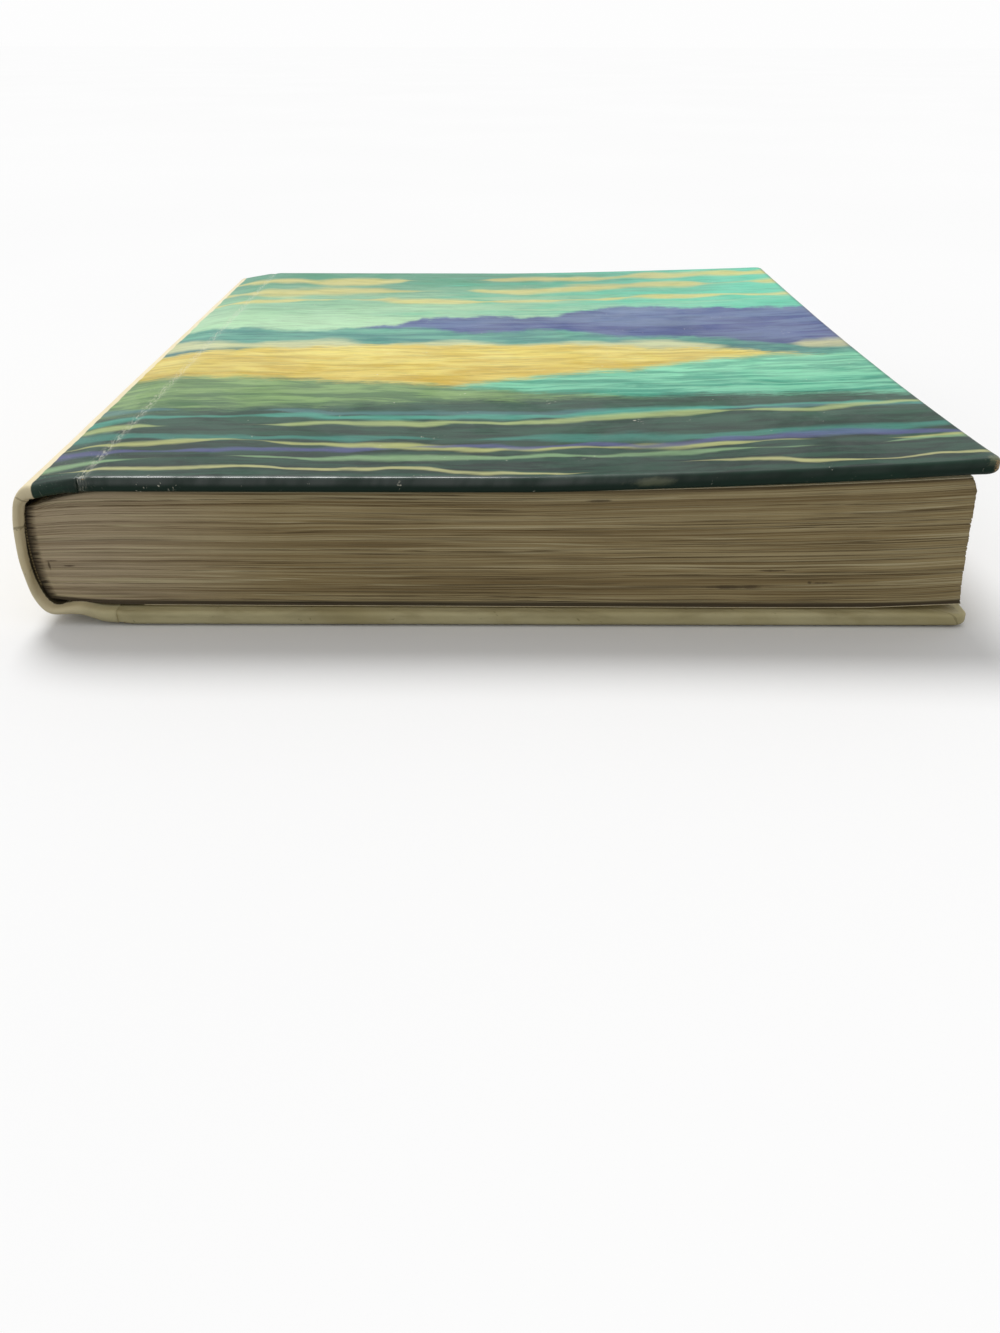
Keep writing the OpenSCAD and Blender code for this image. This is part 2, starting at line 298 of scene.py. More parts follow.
class Graph:
    """Short calls that add nodes to one node tree and join them."""

    def __init__(self, tree: bpy.types.NodeTree) -> None:
        """Keep the tree that the nodes go into."""
        self.tree = tree

    def node(self, kind: str, **settings: object) -> bpy.types.Node:
        """Add a node and set its properties.

        Args:
            kind: The node's type.
            settings: Its properties, by name.

        Returns:
            The node.
        """
        made = self.tree.nodes.new(kind)
        for key, setting in settings.items():
            setattr(made, key, setting)
        return made

    def feed(self, socket: Socket, value: Value) -> None:
        """Link an output to a socket, or set the socket to a plain value.

        Args:
            socket: The socket to fill.
            value: An output, or a plain value.
        """
        if isinstance(value, bpy.types.NodeSocket):
            self.tree.links.new(value, socket)
        else:
            socket.default_value = value

    def math(self, kind: str, a: Value, b: Value = 0.0) -> Socket:
        """Add a Math node of two values.

        Args:
            kind: The operation.
            a: First value.
            b: Second value.

        Returns:
            The result.
        """
        made = self.node("ShaderNodeMath", operation=kind)
        self.feed(made.inputs[0], a)
        self.feed(made.inputs[1], b)
        return made.outputs[0]

    def plus(self, a: Value, b: Value) -> Socket:
        """Add two values."""
        return self.math("ADD", a, b)

    def minus(self, a: Value, b: Value) -> Socket:
        """Take the second value from the first."""
        return self.math("SUBTRACT", a, b)

    def times(self, a: Value, b: Value) -> Socket:
        """Multiply two values."""
        return self.math("MULTIPLY", a, b)

    def swing(self, value: Value, reach: float) -> Socket:
        """Turn values about 0.5 into values about 0, with the given reach from lowest to highest."""
        return self.times(self.minus(value, 0.5), reach)

    def step(self, value: Value, low: Value, high: Value, start: float = 0.0, end: float = 1.0) -> Socket:
        """Go smoothly from start to end while value goes from low to high.

        Args:
            value: What is looked at.
            low: Where the change begins.
            high: Where it ends.
            start: Result at low.
            end: Result at high.

        Returns:
            The result, held at both ends.
        """
        made = self.node("ShaderNodeMapRange", interpolation_type="SMOOTHSTEP")
        for socket, number in zip(made.inputs, (value, low, high, start, end)):
            self.feed(socket, number)
        return made.outputs[0]

    def blend(self, share: Value, a: Value, b: Value) -> Socket:
        """Mix two colours.

        Args:
            share: Share of the second colour.
            a: First colour.
            b: Second colour.

        Returns:
            The mixed colour.
        """
        made = self.node("ShaderNodeMix", data_type="RGBA", blend_type="MIX")
        self.feed(made.inputs[0], share)
        self.feed(made.inputs[6], a)
        self.feed(made.inputs[7], b)
        return made.outputs[2]

    def lay(self, under: Value, tint: str, mask: Value, strength: float = 1.0) -> Socket:
        """Lay a plain colour over another one.

        Args:
            under: The colour that lies under it.
            tint: The laid colour, as #rrggbb.
            mask: Where it lies, 0 to 1.
            strength: How strongly it covers.

        Returns:
            The mixed colour.
        """
        share = mask if strength == 1.0 else self.times(mask, strength)
        return self.blend(share, under, linear(tint))

    def noise(self, vector: Value, scale: Value, detail: float = 3.0, rough: float = 0.5,
              warp: float = 0.0) -> Socket:
        """Add a Noise texture and give its value.

        Args:
            vector: Coordinates.
            scale: Cells for each unit.
            detail: Number of finer layers.
            rough: Strength of the finer layers.
            warp: Distortion.

        Returns:
            Values about 0.5.
        """
        made = self.node("ShaderNodeTexNoise", noise_dimensions="3D")
        self.feed(made.inputs["Vector"], vector)
        self.feed(made.inputs["Scale"], scale)
        self.feed(made.inputs["Detail"], detail)
        self.feed(made.inputs["Roughness"], rough)
        self.feed(made.inputs["Distortion"], warp)
        return made.outputs[0]

    def place(self, vector: Value, scale: Value, shift: Value = (0, 0, 0), turn: float = 0.0) -> Socket:
        """Scale, turn and shift a pattern's coordinates.

        Args:
            vector: Coordinates.
            scale: Factor along each axis.
            shift: What is added.
            turn: Turn in degrees about the third axis.

        Returns:
            The placed coordinates.
        """
        made = self.node("ShaderNodeMapping")
        self.feed(made.inputs["Vector"], vector)
        self.feed(made.inputs["Location"], shift)
        self.feed(made.inputs["Rotation"], (0, 0, math.radians(turn)))
        self.feed(made.inputs["Scale"], scale)
        return made.outputs[0]

    def split(self, vector: Socket) -> tuple[Socket, Socket, Socket]:
        """Take a vector apart.

        Args:
            vector: The vector.

        Returns:
            Its three parts.
        """
        made = self.node("ShaderNodeSeparateXYZ")
        self.feed(made.inputs[0], vector)
        return made.outputs[0], made.outputs[1], made.outputs[2]

    def join(self, x: Value, y: Value, z: Value = 0.0) -> Socket:
        """Put a vector together.

        Args:
            x: First part.
            y: Second part.
            z: Third part.

        Returns:
            The vector.
        """
        made = self.node("ShaderNodeCombineXYZ")
        for socket, number in zip(made.inputs, (x, y, z)):
            self.feed(socket, number)
        return made.outputs[0]

    def vector_sum(self, a: Value, b: Value) -> Socket:
        """Add two vectors.

        Args:
            a: First vector.
            b: Second vector.

        Returns:
            Their sum.
        """
        made = self.node("ShaderNodeVectorMath", operation="ADD")
        self.feed(made.inputs[0], a)
        self.feed(made.inputs[1], b)
        return made.outputs[0]

    def uv(self) -> Socket:
        """Coordinates along the piece's own surface."""
        return self.node("ShaderNodeUVMap", uv_map="UVMap").outputs[0]

    def object_place(self) -> Socket:
        """Coordinates of the object, in metres."""
        return self.node("ShaderNodeTexCoord").outputs["Object"]

    def point_value(self, name: str) -> Socket:
        """A value that the piece's points carry."""
        return self.node("ShaderNodeAttribute", attribute_name=name).outputs["Fac"]

    def use(self, effect: bpy.types.NodeTree, **inputs: Value) -> bpy.types.Node:
        """Place a shared effect with its own values.

        Args:
            effect: The group.
            inputs: Values of its inputs, by name.

        Returns:
            The placed group.
        """
        made = self.node("ShaderNodeGroup")
        made.node_tree = effect
        for key, value in inputs.items():
            self.feed(made.inputs[key.replace("_", " ")], value)
        return made


class Effect:
    """A shared effect: a node group with named inputs and outputs."""

    def __init__(self, name: str, inputs: dict[str, str], outputs: Sequence[str]) -> None:
        """Make the group's sockets.

        Args:
            name: Name of the effect.
            inputs: Kind of each input, Vector or Float, by name.
            outputs: Names of the value outputs.
        """
        self.tree = bpy.data.node_groups.new(name, "ShaderNodeTree")
        for key, kind in inputs.items():
            self.tree.interface.new_socket(key, in_out="INPUT", socket_type=f"NodeSocket{kind}")
        for key in outputs:
            self.tree.interface.new_socket(key, in_out="OUTPUT", socket_type="NodeSocketFloat")
        self.graph = Graph(self.tree)
        self.inputs = self.graph.node("NodeGroupInput").outputs
        self.outputs = self.graph.node("NodeGroupOutput").inputs

    def give(self, name: str, value: Socket) -> None:
        """Send a value out of the group."""
        self.graph.feed(self.outputs[name], value)


class Effects:
    """The shared effects, each built once."""

    def __init__(self) -> None:
        """Build every effect."""
        self.hill = self.make_hill()
        self.drift = self.make_drift()
        self.strokes = self.make_strokes()
        self.chips = self.make_chips()
        self.grime = self.make_grime()
        self.fibre = self.make_fibre()
        self.spot = self.make_spot()

    def make_hill(self) -> bpy.types.NodeTree:
        """Mask under a ridge line: height less bend times distance from the peak squared, made uneven.

        Returns:
            The node group.
        """
        kinds = {"Vector": "Vector", "Height": "Float", "Peak": "Float", "Bend": "Float", "Rough": "Float",
                 "Scale": "Float", "Seed": "Float", "Soft": "Float"}
        made = Effect("hill line", kinds, ["Mask"])
        g, i = made.graph, made.inputs
        x, y, _ = g.split(i["Vector"])
        off = g.minus(x, i["Peak"])
        bow = g.times(g.times(off, off), i["Bend"])
        uneven = g.minus(g.noise(g.join(x, i["Seed"]), i["Scale"], 5.0, 0.55), 0.5)
        line = g.plus(g.minus(i["Height"], bow), g.times(uneven, i["Rough"]))
        below = g.minus(line, y)
        made.give("Mask", g.step(below, g.times(i["Soft"], -1.0), i["Soft"]))
        return made.tree

    def make_drift(self) -> bpy.types.NodeTree:
        """Mask of a broken drifting band: near a sloping line, with a width that comes and goes.

        Returns:
            The node group.
        """
        kinds = {"Vector": "Vector", "Centre": "Float", "Slope": "Float", "Width": "Float", "Seed": "Float"}
        made = Effect("drifting band", kinds, ["Mask"])
        g, i = made.graph, made.inputs
        x, y, _ = g.split(i["Vector"])
        line = g.plus(i["Centre"], g.times(x, i["Slope"]))
        sway = g.swing(g.noise(g.join(x, i["Seed"]), 4.0), 0.09)
        gone = g.math("ABSOLUTE", g.minus(y, g.plus(line, sway)))
        swell = g.noise(g.join(x, i["Seed"], 7.0), 5.0, 2.0)
        width = g.times(g.step(swell, 0.36, 0.62, 0.1, 1.0), i["Width"])
        rough = g.noise(g.place(i["Vector"], (9, 34, 1)), 1.0, 4.0, 0.65)
        ragged = g.swing(rough, 1.5)
        inside = g.step(g.plus(g.math("DIVIDE", gone, width), ragged), 1.0, 0.15)
        made.give("Mask", g.times(inside, g.step(swell, 0.36, 0.47)))
        return made.tree

    def make_strokes(self) -> bpy.types.NodeTree:
        """Long brush marks: noise drawn out along the first direction, coarse and fine.

        Returns:
            The node group.
        """
        kinds = {"Vector": "Vector", "Scale": "Float", "Seed": "Float"}
        made = Effect("brush strokes", kinds, ["Coarse", "Fine"])
        g, i = made.graph, made.inputs
        moved = g.vector_sum(g.place(i["Vector"], (1.0, 6.5, 1.0)), g.join(i["Seed"], 0.0, i["Seed"]))
        made.give("Coarse", g.noise(moved, i["Scale"], 4.0, 0.6, 0.6))
        made.give("Fine", g.noise(moved, g.times(i["Scale"], 4.5), 3.0, 0.7, 0.3))
        return made.tree

    def make_chips(self) -> bpy.types.NodeTree:
        """Chips and rubbed spots: fine noise cut off high, thinned out by coarse noise.

        Returns:
            The node group.
        """
        made = Effect("chips", {"Vector": "Vector", "Scale": "Float", "Amount": "Float"}, ["Mask"])
        g, i = made.graph, made.inputs
        fine = g.noise(i["Vector"], i["Scale"], 4.0, 0.65, 0.4)
        coarse = g.noise(i["Vector"], g.times(i["Scale"], 0.13), 2.0)
        level = g.plus(g.times(fine, 0.6), g.times(coarse, 0.4))
        cut = g.minus(0.9, g.times(i["Amount"], 0.5))
        made.give("Mask", g.step(level, cut, g.plus(cut, 0.05)))
        return made.tree

    def make_grime(self) -> bpy.types.NodeTree:
        """Handling dirt: a cloudy veil and small specks.

        Returns:
            The node group.
        """
        made = Effect("grime", {"Vector": "Vector", "Scale": "Float"}, ["Veil", "Specks"])
        g, i = made.graph, made.inputs
        made.give("Veil", g.step(g.noise(i["Vector"], i["Scale"], 5.0, 0.6, 0.5), 0.38, 0.72))
        specks = g.noise(i["Vector"], g.times(i["Scale"], 17.0), 2.0, 0.5)
        made.give("Specks", g.step(specks, 0.69, 0.75))
        return made.tree

    def make_fibre(self) -> bpy.types.NodeTree:
        """Pressed paper or board fibres: two crossing directions of drawn-out noise.

        Returns:
            The node group.
        """
        made = Effect("fibres", {"Vector": "Vector", "Scale": "Float"}, ["Value"])
        g, i = made.graph, made.inputs
        one = g.noise(g.place(i["Vector"], (1.0, 5.0, 5.0), turn=31.0), i["Scale"], 4.0, 0.6, 0.5)
        two = g.noise(g.place(i["Vector"], (5.0, 1.0, 5.0), turn=12.0), i["Scale"], 4.0, 0.6, 0.5)
        made.give("Value", g.times(g.plus(one, two), 0.5))
        return made.tree

    def make_spot(self) -> bpy.types.NodeTree:
        """One uneven stain: inside an oval about a centre, with a ragged edge.

        Returns:
            The node group.
        """
        kinds = {"Vector": "Vector", "Across": "Float", "Up": "Float", "Width": "Float", "Height": "Float"}
        made = Effect("stain", kinds, ["Mask"])
        g, i = made.graph, made.inputs
        x, y, _ = g.split(i["Vector"])
        across = g.math("DIVIDE", g.minus(x, i["Across"]), i["Width"])
        up = g.math("DIVIDE", g.minus(y, i["Up"]), i["Height"])
        far = g.math("SQRT", g.plus(g.times(across, across), g.times(up, up)))
        ragged = g.swing(g.noise(i["Vector"], 60.0, 4.0, 0.65), 1.6)
        made.give("Mask", g.step(g.plus(far, ragged), 1.15, 0.35))
        return made.tree

    def stain(self, g: Graph, oval: Sequence[float]) -> Socket:
        """Place one stain on a piece.

        Args:
            g: Tree of the material.
            oval: Its place across and up and its half sizes, in millimetres.

        Returns:
            Its mask.
        """
        across, up, width, height = [number / UV_UNIT for number in oval]
        return g.use(self.spot, Vector=g.uv(), Across=across, Up=up, Width=width, Height=height).outputs[0]

    def marks(self, g: Graph, turn: float, scale: float, seed: float) -> Socket:
        """Draw fine marks along one direction of a piece.

        Args:
            g: Tree of the material.
            turn: Turn of that direction, in degrees.
            scale: Cells for each unit.
            seed: Choice of the pattern.

        Returns:
            Values about 0.5.
        """
        along = g.place(g.uv(), (1, 1, 1), turn=turn)
        return g.use(self.strokes, Vector=along, Scale=scale, Seed=seed).outputs["Fine"]


class Finish:
    """One material: a Principled shader whose base, roughness and bump come from nodes."""

    def __init__(self, name: str) -> None:
        """Start an empty material.

        Args:
            name: Name of the material.
        """
        self.material = bpy.data.materials.new(name)
        self.material.use_nodes = True
        tree = self.material.node_tree
        tree.nodes.clear()
        self.graph = Graph(tree)
        self.shader = self.graph.node("ShaderNodeBsdfPrincipled")
        out = self.graph.node("ShaderNodeOutputMaterial")
        tree.links.new(self.shader.outputs[0], out.inputs["Surface"])

    def dress(self, base: Value, roughness: Value, height: Value, depth: float,
              distance: float = 0.0004) -> None:
        """Join colour, roughness and bump to the shader.

        Args:
            base: Base colour.
            roughness: Roughness.
            height: Height of the bump.
            depth: Strength of the bump.
            distance: How far a full height stands out, in metres.
        """
        g = self.graph
        g.feed(self.shader.inputs["Base Color"], base)
        g.feed(self.shader.inputs["Roughness"], roughness)
        bump = g.node("ShaderNodeBump")
        bump.inputs["Strength"].default_value = depth
        bump.inputs["Distance"].default_value = distance
        g.feed(bump.inputs["Height"], height)
        g.feed(self.shader.inputs["Normal"], bump.outputs[0])

    def gloss(self, coat_roughness: float, level: float) -> None:
        """Set the clear film's roughness and the specular level under it, the same all over."""
        self.shader.inputs["Coat Roughness"].default_value = coat_roughness
        self.shader.inputs["Specular IOR Level"].default_value = level


@dataclass(frozen=True)
class Layer:
    """One painted hill of the cover's landscape. Lengths are shares of the cover's height."""

    near: str
    far: str
    height: float
    peak: float
    bend: float
    rough: float
    scale: float
    soft: float


@dataclass(frozen=True)
class Landscape:
    """A made-up landscape of misty hills in green, teal, gold and violet, in broad brush strokes.

    A cloud or a grass is a band: its centre, slope and width, in shares of the cover's height.
    """

    sky_low: str = "#bbe6b9"
    sky_high: str = "#569b7c"
    sky_side: str = "#68d2b0"
    cloud: str = "#e0d582"
    mist: str = "#e3e2a8"
    glaze: str = "#142e22"
    hills: tuple[Layer, ...] = (
        Layer("#3f4a86", "#6f84a8", 0.71, 0.62, 0.60, 0.20, 6.0, 0.010),
        Layer("#256f74", "#6fb59c", 0.60, 0.10, 0.30, 0.16, 5.0, 0.012),
        Layer("#cfae3a", "#f4e37e", 0.50, 0.30, 0.42, 0.12, 4.0, 0.012),
        Layer("#2a9279", "#94e6bc", 0.43, 0.95, 0.34, 0.09, 4.0, 0.014),
        Layer("#35603f", "#8cae6c", 0.345, -0.05, 0.30, 0.06, 4.0, 0.014),
        Layer("#0f271f", "#2c5743", 0.25, 0.52, 0.16, 0.07, 4.0, 0.016),
    )
    clouds: tuple[tuple[float, float, float], ...] = (
        (0.92, 0.05, 0.045), (0.83, 0.07, 0.05), (0.765, 0.03, 0.03),
    )
    grasses: tuple[tuple[float, float, float, str], ...] = (
        (0.215, -0.03, 0.016, "#4f7f80"), (0.185, 0.02, 0.020, "#4fa893"), (0.155, 0.05, 0.016, "#b3c47e"),
        (0.125, -0.02, 0.022, "#3d8a7a"), (0.10, -0.03, 0.014, "#c2c77c"), (0.075, 0.03, 0.016, "#54598c"),
        (0.05, 0.02, 0.013, "#8fb583"), (0.028, -0.01, 0.008, "#c9c98a"),
    )
    cloud_seed: float = 3.0
    hill_seed: float = 11.0
    brush_seed: float = 20.0
    grass_seed: float = 31.0
    haze_seed: float = 9.0
    haze: tuple[float, float, float] = (0.5, -0.04, 0.06)
    haze_hill: int = 1

    def band(self, g: Graph, effects: Effects, where: Socket, shape: Sequence[float], seed: float) -> Socket:
        """Place one drifting band.

        Args:
            g: Tree of the material.
            effects: The shared effects.
            where: Coordinates.
            shape: Its centre, slope and width.
            seed: Choice of the pattern.

        Returns:
            Its mask.
        """
        centre, slope, width = shape
        made = g.use(effects.drift, Vector=where, Centre=centre, Slope=slope, Width=width, Seed=seed)
        return made.outputs[0]

    def paint(self, g: Graph, effects: Effects) -> Socket:
        """Paint the landscape over the piece's own coordinates.

        Args:
            g: Tree of the material.
            effects: The shared effects.

        Returns:
            The painted colour.
        """
        flat = g.uv()
        where = self.shaken(g, flat)
        x, y, _ = g.split(where)
        marks = g.use(effects.strokes, Vector=where, Scale=5.0, Seed=1.0)
        coarse, fine = marks.outputs["Coarse"], marks.outputs["Fine"]
        sky = g.blend(g.step(g.plus(y, g.times(coarse, 0.3)), 0.72, 1.12),
                      linear(self.sky_low), linear(self.sky_high))
        sky = g.lay(sky, self.sky_side, g.step(g.plus(x, coarse), 0.75, 1.3))
        for number, shape in enumerate(self.clouds):
            drift = self.band(g, effects, where, shape, self.cloud_seed + number)
            sky = g.lay(sky, self.cloud, drift, 0.85)
        color = sky
        for number, layer in enumerate(self.hills):
            brush = g.use(effects.strokes, Vector=where, Scale=6.0 + number, Seed=self.brush_seed + number)
            rag = g.swing(brush.outputs["Fine"], 0.05)
            under = g.use(effects.hill, Vector=g.join(x, g.plus(y, rag)), Height=layer.height,
                          Peak=layer.peak, Bend=layer.bend, Rough=layer.rough, Scale=layer.scale,
                          Seed=self.hill_seed + 5.0 * number, Soft=layer.soft)
            tone = g.step(brush.outputs["Coarse"], 0.38, 0.62)
            fall = g.step(y, layer.height - 0.2, layer.height)
            shade = g.plus(g.times(tone, 0.6), g.times(fall, 0.4))
            color = g.blend(under.outputs[0], color, g.blend(shade, linear(layer.near), linear(layer.far)))
            if number == self.haze_hill:
                haze = self.band(g, effects, where, self.haze, self.haze_seed)
                color = g.lay(color, self.mist, haze, 0.8)
        for number, (*shape, tint) in enumerate(self.grasses):
            grass = self.band(g, effects, where, shape, self.grass_seed + number)
            color = g.lay(color, tint, grass, 0.75)
        dark = g.lay(color, self.glaze, 0.6)
        color = g.blend(g.step(fine, 0.42, 0.68, 0.0, 0.36), color, dark)
        cloudy = g.noise(flat, 3.2, 3.0, 0.5, 0.8)
        return g.blend(g.step(cloudy, 0.46, 0.7, 0.0, 0.3), color, dark)

    def shaken(self, g: Graph, flat: Socket) -> Socket:
        """Shake the coordinates as a loose hand does, in large and in small sweeps.

        Args:
            g: Tree of the material.
            flat: The piece's own coordinates.

        Returns:
            The shaken coordinates.
        """
        for scale, reach in ((2.6, 0.05), (14.0, 0.014)):
            wobble = g.node("ShaderNodeTexNoise")
            g.feed(wobble.inputs["Vector"], flat)
            wobble.inputs["Scale"].default_value = scale
            wobble.inputs["Detail"].default_value = 3.0
            shake = g.node("ShaderNodeVectorMath", operation="MULTIPLY_ADD")
            g.feed(shake.inputs[0], g.vector_sum(wobble.outputs["Color"], (-0.5, -0.5, -0.5)))
            shake.inputs[1].default_value = (reach, reach, 0.0)
            g.feed(shake.inputs[2], flat)
            flat = shake.outputs[0]
        return flat


@dataclass(frozen=True)
class SheetFinish:
    """The laminated sheet of the case: printed on the front and the joint, plain cream elsewhere.

    Places are in millimetres on the unrolled sheet, from the front crease and the tail edge.
    """

    landscape: Landscape = Landscape()
    # cream is the spine's cream, painted lighter as if lit from the left; the handled creams of the back are
    # darker, partly soil and partly painted shade
    cream: str = "#f7e9c3"
    cream_aged: str = "#eadab0"
    handled_shaded: str = "#d9cfa2"
    handled_aged_shaded: str = "#c5b98a"
    soil: str = "#7c6f4d"
    # colour of the painted shade on the sheet's inner face inside the gap at the spine's ends
    gap: str = "#2f2614"
    edge: str = "#14261d"
    chip: str = "#e2dfcb"
    rub: str = "#9a9f7c"
    board: str = "#b39468"
    board_dark: str = "#6f5a3a"
    film_print: float = 0.95
    film_joint: float = 0.3
    film_plain: float = 0.1
    film_least: float = 0.02
    film_rough: float = 0.07
    specular: float = 0.1
    print_end: float = -10.9
    print_soft: float = 0.15
    handled_shaded_run: tuple[float, float] = (-42.0, -60.0)
    folds: tuple[float, ...] = (-15.4, -23.0, 185.6)
    scuff: tuple[float, float, float, float] = (119.6, -0.9, 5.0, 1.2)

    def wear(self, g: Graph, effects: Effects, color: Socket) -> Socket:
        """Add the printed sheet's wear: dark folded edges, a rubbed crease, chips and the bared corner.

        Args:
            g: Tree of the material.
            effects: The shared effects.
            color: The unworn print.

        Returns:
            The worn colour.
        """
        flat = g.uv()
        x, _, _ = g.split(flat)
        rim = g.point_value("rim")
        corner = g.point_value("corner")
        faded = g.times(g.step(x, -0.02, 0.0, 0.72, 1.0), g.step(x, 0.35, 0.8, 1.0, 0.86))
        color = g.lay(color, self.edge, g.times(g.step(rim, 2.2, -0.4, 0.0, 0.92), faded))
        chips = g.use(effects.chips, Vector=flat, Scale=150.0, Amount=0.54).outputs[0]
        along_edge = g.times(g.step(rim, 1.6, 0.2), g.step(rim, -2.8, -1.0))
        color = g.lay(color, self.chip, g.times(chips, g.times(along_edge, 0.85)))
        rub = effects.marks(g, turn=86.0, scale=22.0, seed=2.0)
        near = g.math("ABSOLUTE", g.times(x, UV_UNIT))
        crease = g.times(g.step(near, 1.6, 0.2), g.step(rub, 0.44, 0.66))
        crease = g.times(crease, g.step(rim, -0.8, 0.8, 0.3, 0.55))
        color = g.lay(color, self.chip, crease)
        slant = effects.marks(g, turn=62.0, scale=30.0, seed=6.0)
        scratch = g.times(g.step(slant, 0.62, 0.74), g.step(x, 0.035, -0.004))
        color = g.lay(color, self.chip, scratch, 0.45)
        color = g.lay(color, self.rub, effects.stain(g, self.scuff), 0.3)
        tiny = g.use(effects.chips, Vector=flat, Scale=210.0, Amount=0.5).outputs[0]
        color = g.lay(color, self.chip, tiny, 0.8)
        fibres = g.use(effects.fibre, Vector=flat, Scale=110.0).outputs[0]
        rubbed = g.step(g.plus(corner, fibres), 1.05, 1.4, 0.0, 0.4)
        rubbed = g.times(rubbed, g.step(rim, -1.4, 0.6))
        color = g.lay(color, self.rub, rubbed)
        bare = g.step(g.plus(corner, g.times(fibres, 0.6)), 1.19, 1.26)
        ply = g.blend(g.step(fibres, 0.35, 0.65), linear(self.board_dark), linear(self.board))
        return g.blend(bare, color, ply)

    def plain(self, g: Graph, effects: Effects, soil_and_shade: Value) -> Socket:
        """Colour the cream sheet, aged unevenly, soiled at its folds and in spots, with painted shade inside
        the gap.

        Args:
            g: Tree of the material.
            effects: The shared effects.
            soil_and_shade: Share of the darker handled cream, 0 to 1: partly soil that hands leave, partly
                painted shade beside the spine's cream, which is painted lighter as if lit from the left.

        Returns:
            The cream colour.
        """
        flat = g.uv()
        rim = g.point_value("rim")
        dirt = g.use(effects.grime, Vector=flat, Scale=7.0)
        # the darker handled cream is partly soil and partly painted shade against the spine's painted-lighter
        # cream
        fresh = g.blend(soil_and_shade, linear(self.cream), linear(self.handled_shaded))
        aged = g.blend(soil_and_shade, linear(self.cream_aged), linear(self.handled_aged_shaded))
        color = g.blend(dirt.outputs["Veil"], fresh, aged)
        rubbed = g.use(effects.grime, Vector=g.place(flat, (0.25, 1.0, 1.0)), Scale=60.0).outputs["Veil"]
        soiled = g.times(g.step(rim, 2.0, -3.2), g.step(rubbed, 0.0, 1.0, 0.2, 0.45))
        color = g.lay(color, self.soil, soiled)
        color = g.lay(color, self.soil, dirt.outputs["Specks"], 0.45)
        x, _, _ = g.split(flat)
        for place in self.folds:
            slanted = g.plus(g.times(x, UV_UNIT), g.times(rim, 0.45))
            near = g.math("ABSOLUTE", g.minus(slanted, place))
            near = g.plus(near, g.swing(rubbed, 0.3))
            ply = g.times(g.step(near, 0.26, 0.05, 0.0, 0.45), g.step(rim, 1.4, 0.2))
            color = g.lay(color, self.soil, ply)
        # painted shade: dark brown on the sheet's inner face in the gap at the spine's ends, with a ragged
        # edge
        ragged = g.swing(g.noise(flat, 210.0, 5.0, 0.8), 1.3)
        inside = g.step(g.plus(g.point_value("inside"), ragged), 0.45, 0.7)
        return g.lay(color, self.gap, inside, 0.93)

    def coated(self, finish: Finish, color: Socket, effects: Effects, film: float) -> bpy.types.Material:
        """Set the film's gloss, strongest on the folds, its uneven roughness and its faint tooth.

        Args:
            finish: The material.
            color: Its colour.
            effects: The shared effects.
            film: Weight of the clear film on the folded edges.

        Returns:
            The finished material.
        """
        g = finish.graph
        flat = g.uv()
        rim = g.point_value("rim")
        tooth = g.noise(flat, 420.0, 3.0, 0.6)
        smear = g.use(effects.grime, Vector=flat, Scale=12.0).outputs["Veil"]
        fine = effects.marks(g, turn=20.0, scale=40.0, seed=5.0)
        rough = g.plus(g.step(smear, 0.0, 1.0, 0.38, 0.52), g.step(fine, 0.6, 0.75, 0.0, 0.15))
        height = g.plus(g.times(tooth, 0.25), g.times(fine, 0.2))
        finish.dress(color, rough, height, 0.15)
        finish.gloss(self.film_rough, self.specular)
        x, y, _ = g.split(flat)
        lit = g.times(g.step(y, 0.03, 0.02), g.step(x, 0.6, 0.4, 0.25, 1.0))
        fold = g.times(g.times(g.step(rim, 2.2, 0.8), g.step(rim, -1.6, -0.4)), lit)
        rubbed = g.noise(g.place(flat, (1.0, 0.4, 1.0)), 26.0, 4.0, 0.6)
        fold = g.times(fold, g.step(rubbed, 0.36, 0.58, 0.35, 1.0))
        g.feed(finish.shader.inputs["Coat Weight"], g.plus(self.film_least, g.times(fold, film)))
        return finish.material

    def printed(self, effects: Effects) -> bpy.types.Material:
        """The printed sheet on the front cover.

        Args:
            effects: The shared effects.

        Returns:
            The finished material.
        """
        finish = Finish("printed sheet")
        color = self.wear(finish.graph, effects, self.landscape.paint(finish.graph, effects))
        return self.coated(finish, color, effects, self.film_print)

    def joined(self, effects: Effects) -> bpy.types.Material:
        """The sheet over the spine: print as far as the spine's shoulder, cream beyond it.

        Args:
            effects: The shared effects.

        Returns:
            The finished material.
        """
        finish = Finish("spine sheet")
        g = finish.graph
        across, _, _ = g.split(g.uv())
        print_color = self.wear(g, effects, self.landscape.paint(g, effects))
        sway = g.swing(g.noise(g.uv(), 40.0), 1.2)
        edge = g.plus(g.times(across, UV_UNIT), sway)
        share = g.step(edge, self.print_end - self.print_soft, self.print_end + self.print_soft)
        # the spine's painted-lighter cream runs into the back's darker handled cream, partly soil and partly
        # painted shade
        plain_color = self.plain(g, effects, g.step(edge, *self.handled_shaded_run))
        return self.coated(finish, g.blend(share, plain_color, print_color), effects, self.film_joint)

    def cream_sheet(self, effects: Effects) -> bpy.types.Material:
        """The plain cream sheet on the back cover."""
        finish = Finish("cream sheet")
        return self.coated(finish, self.plain(finish.graph, effects, 1.0), effects, self.film_plain)


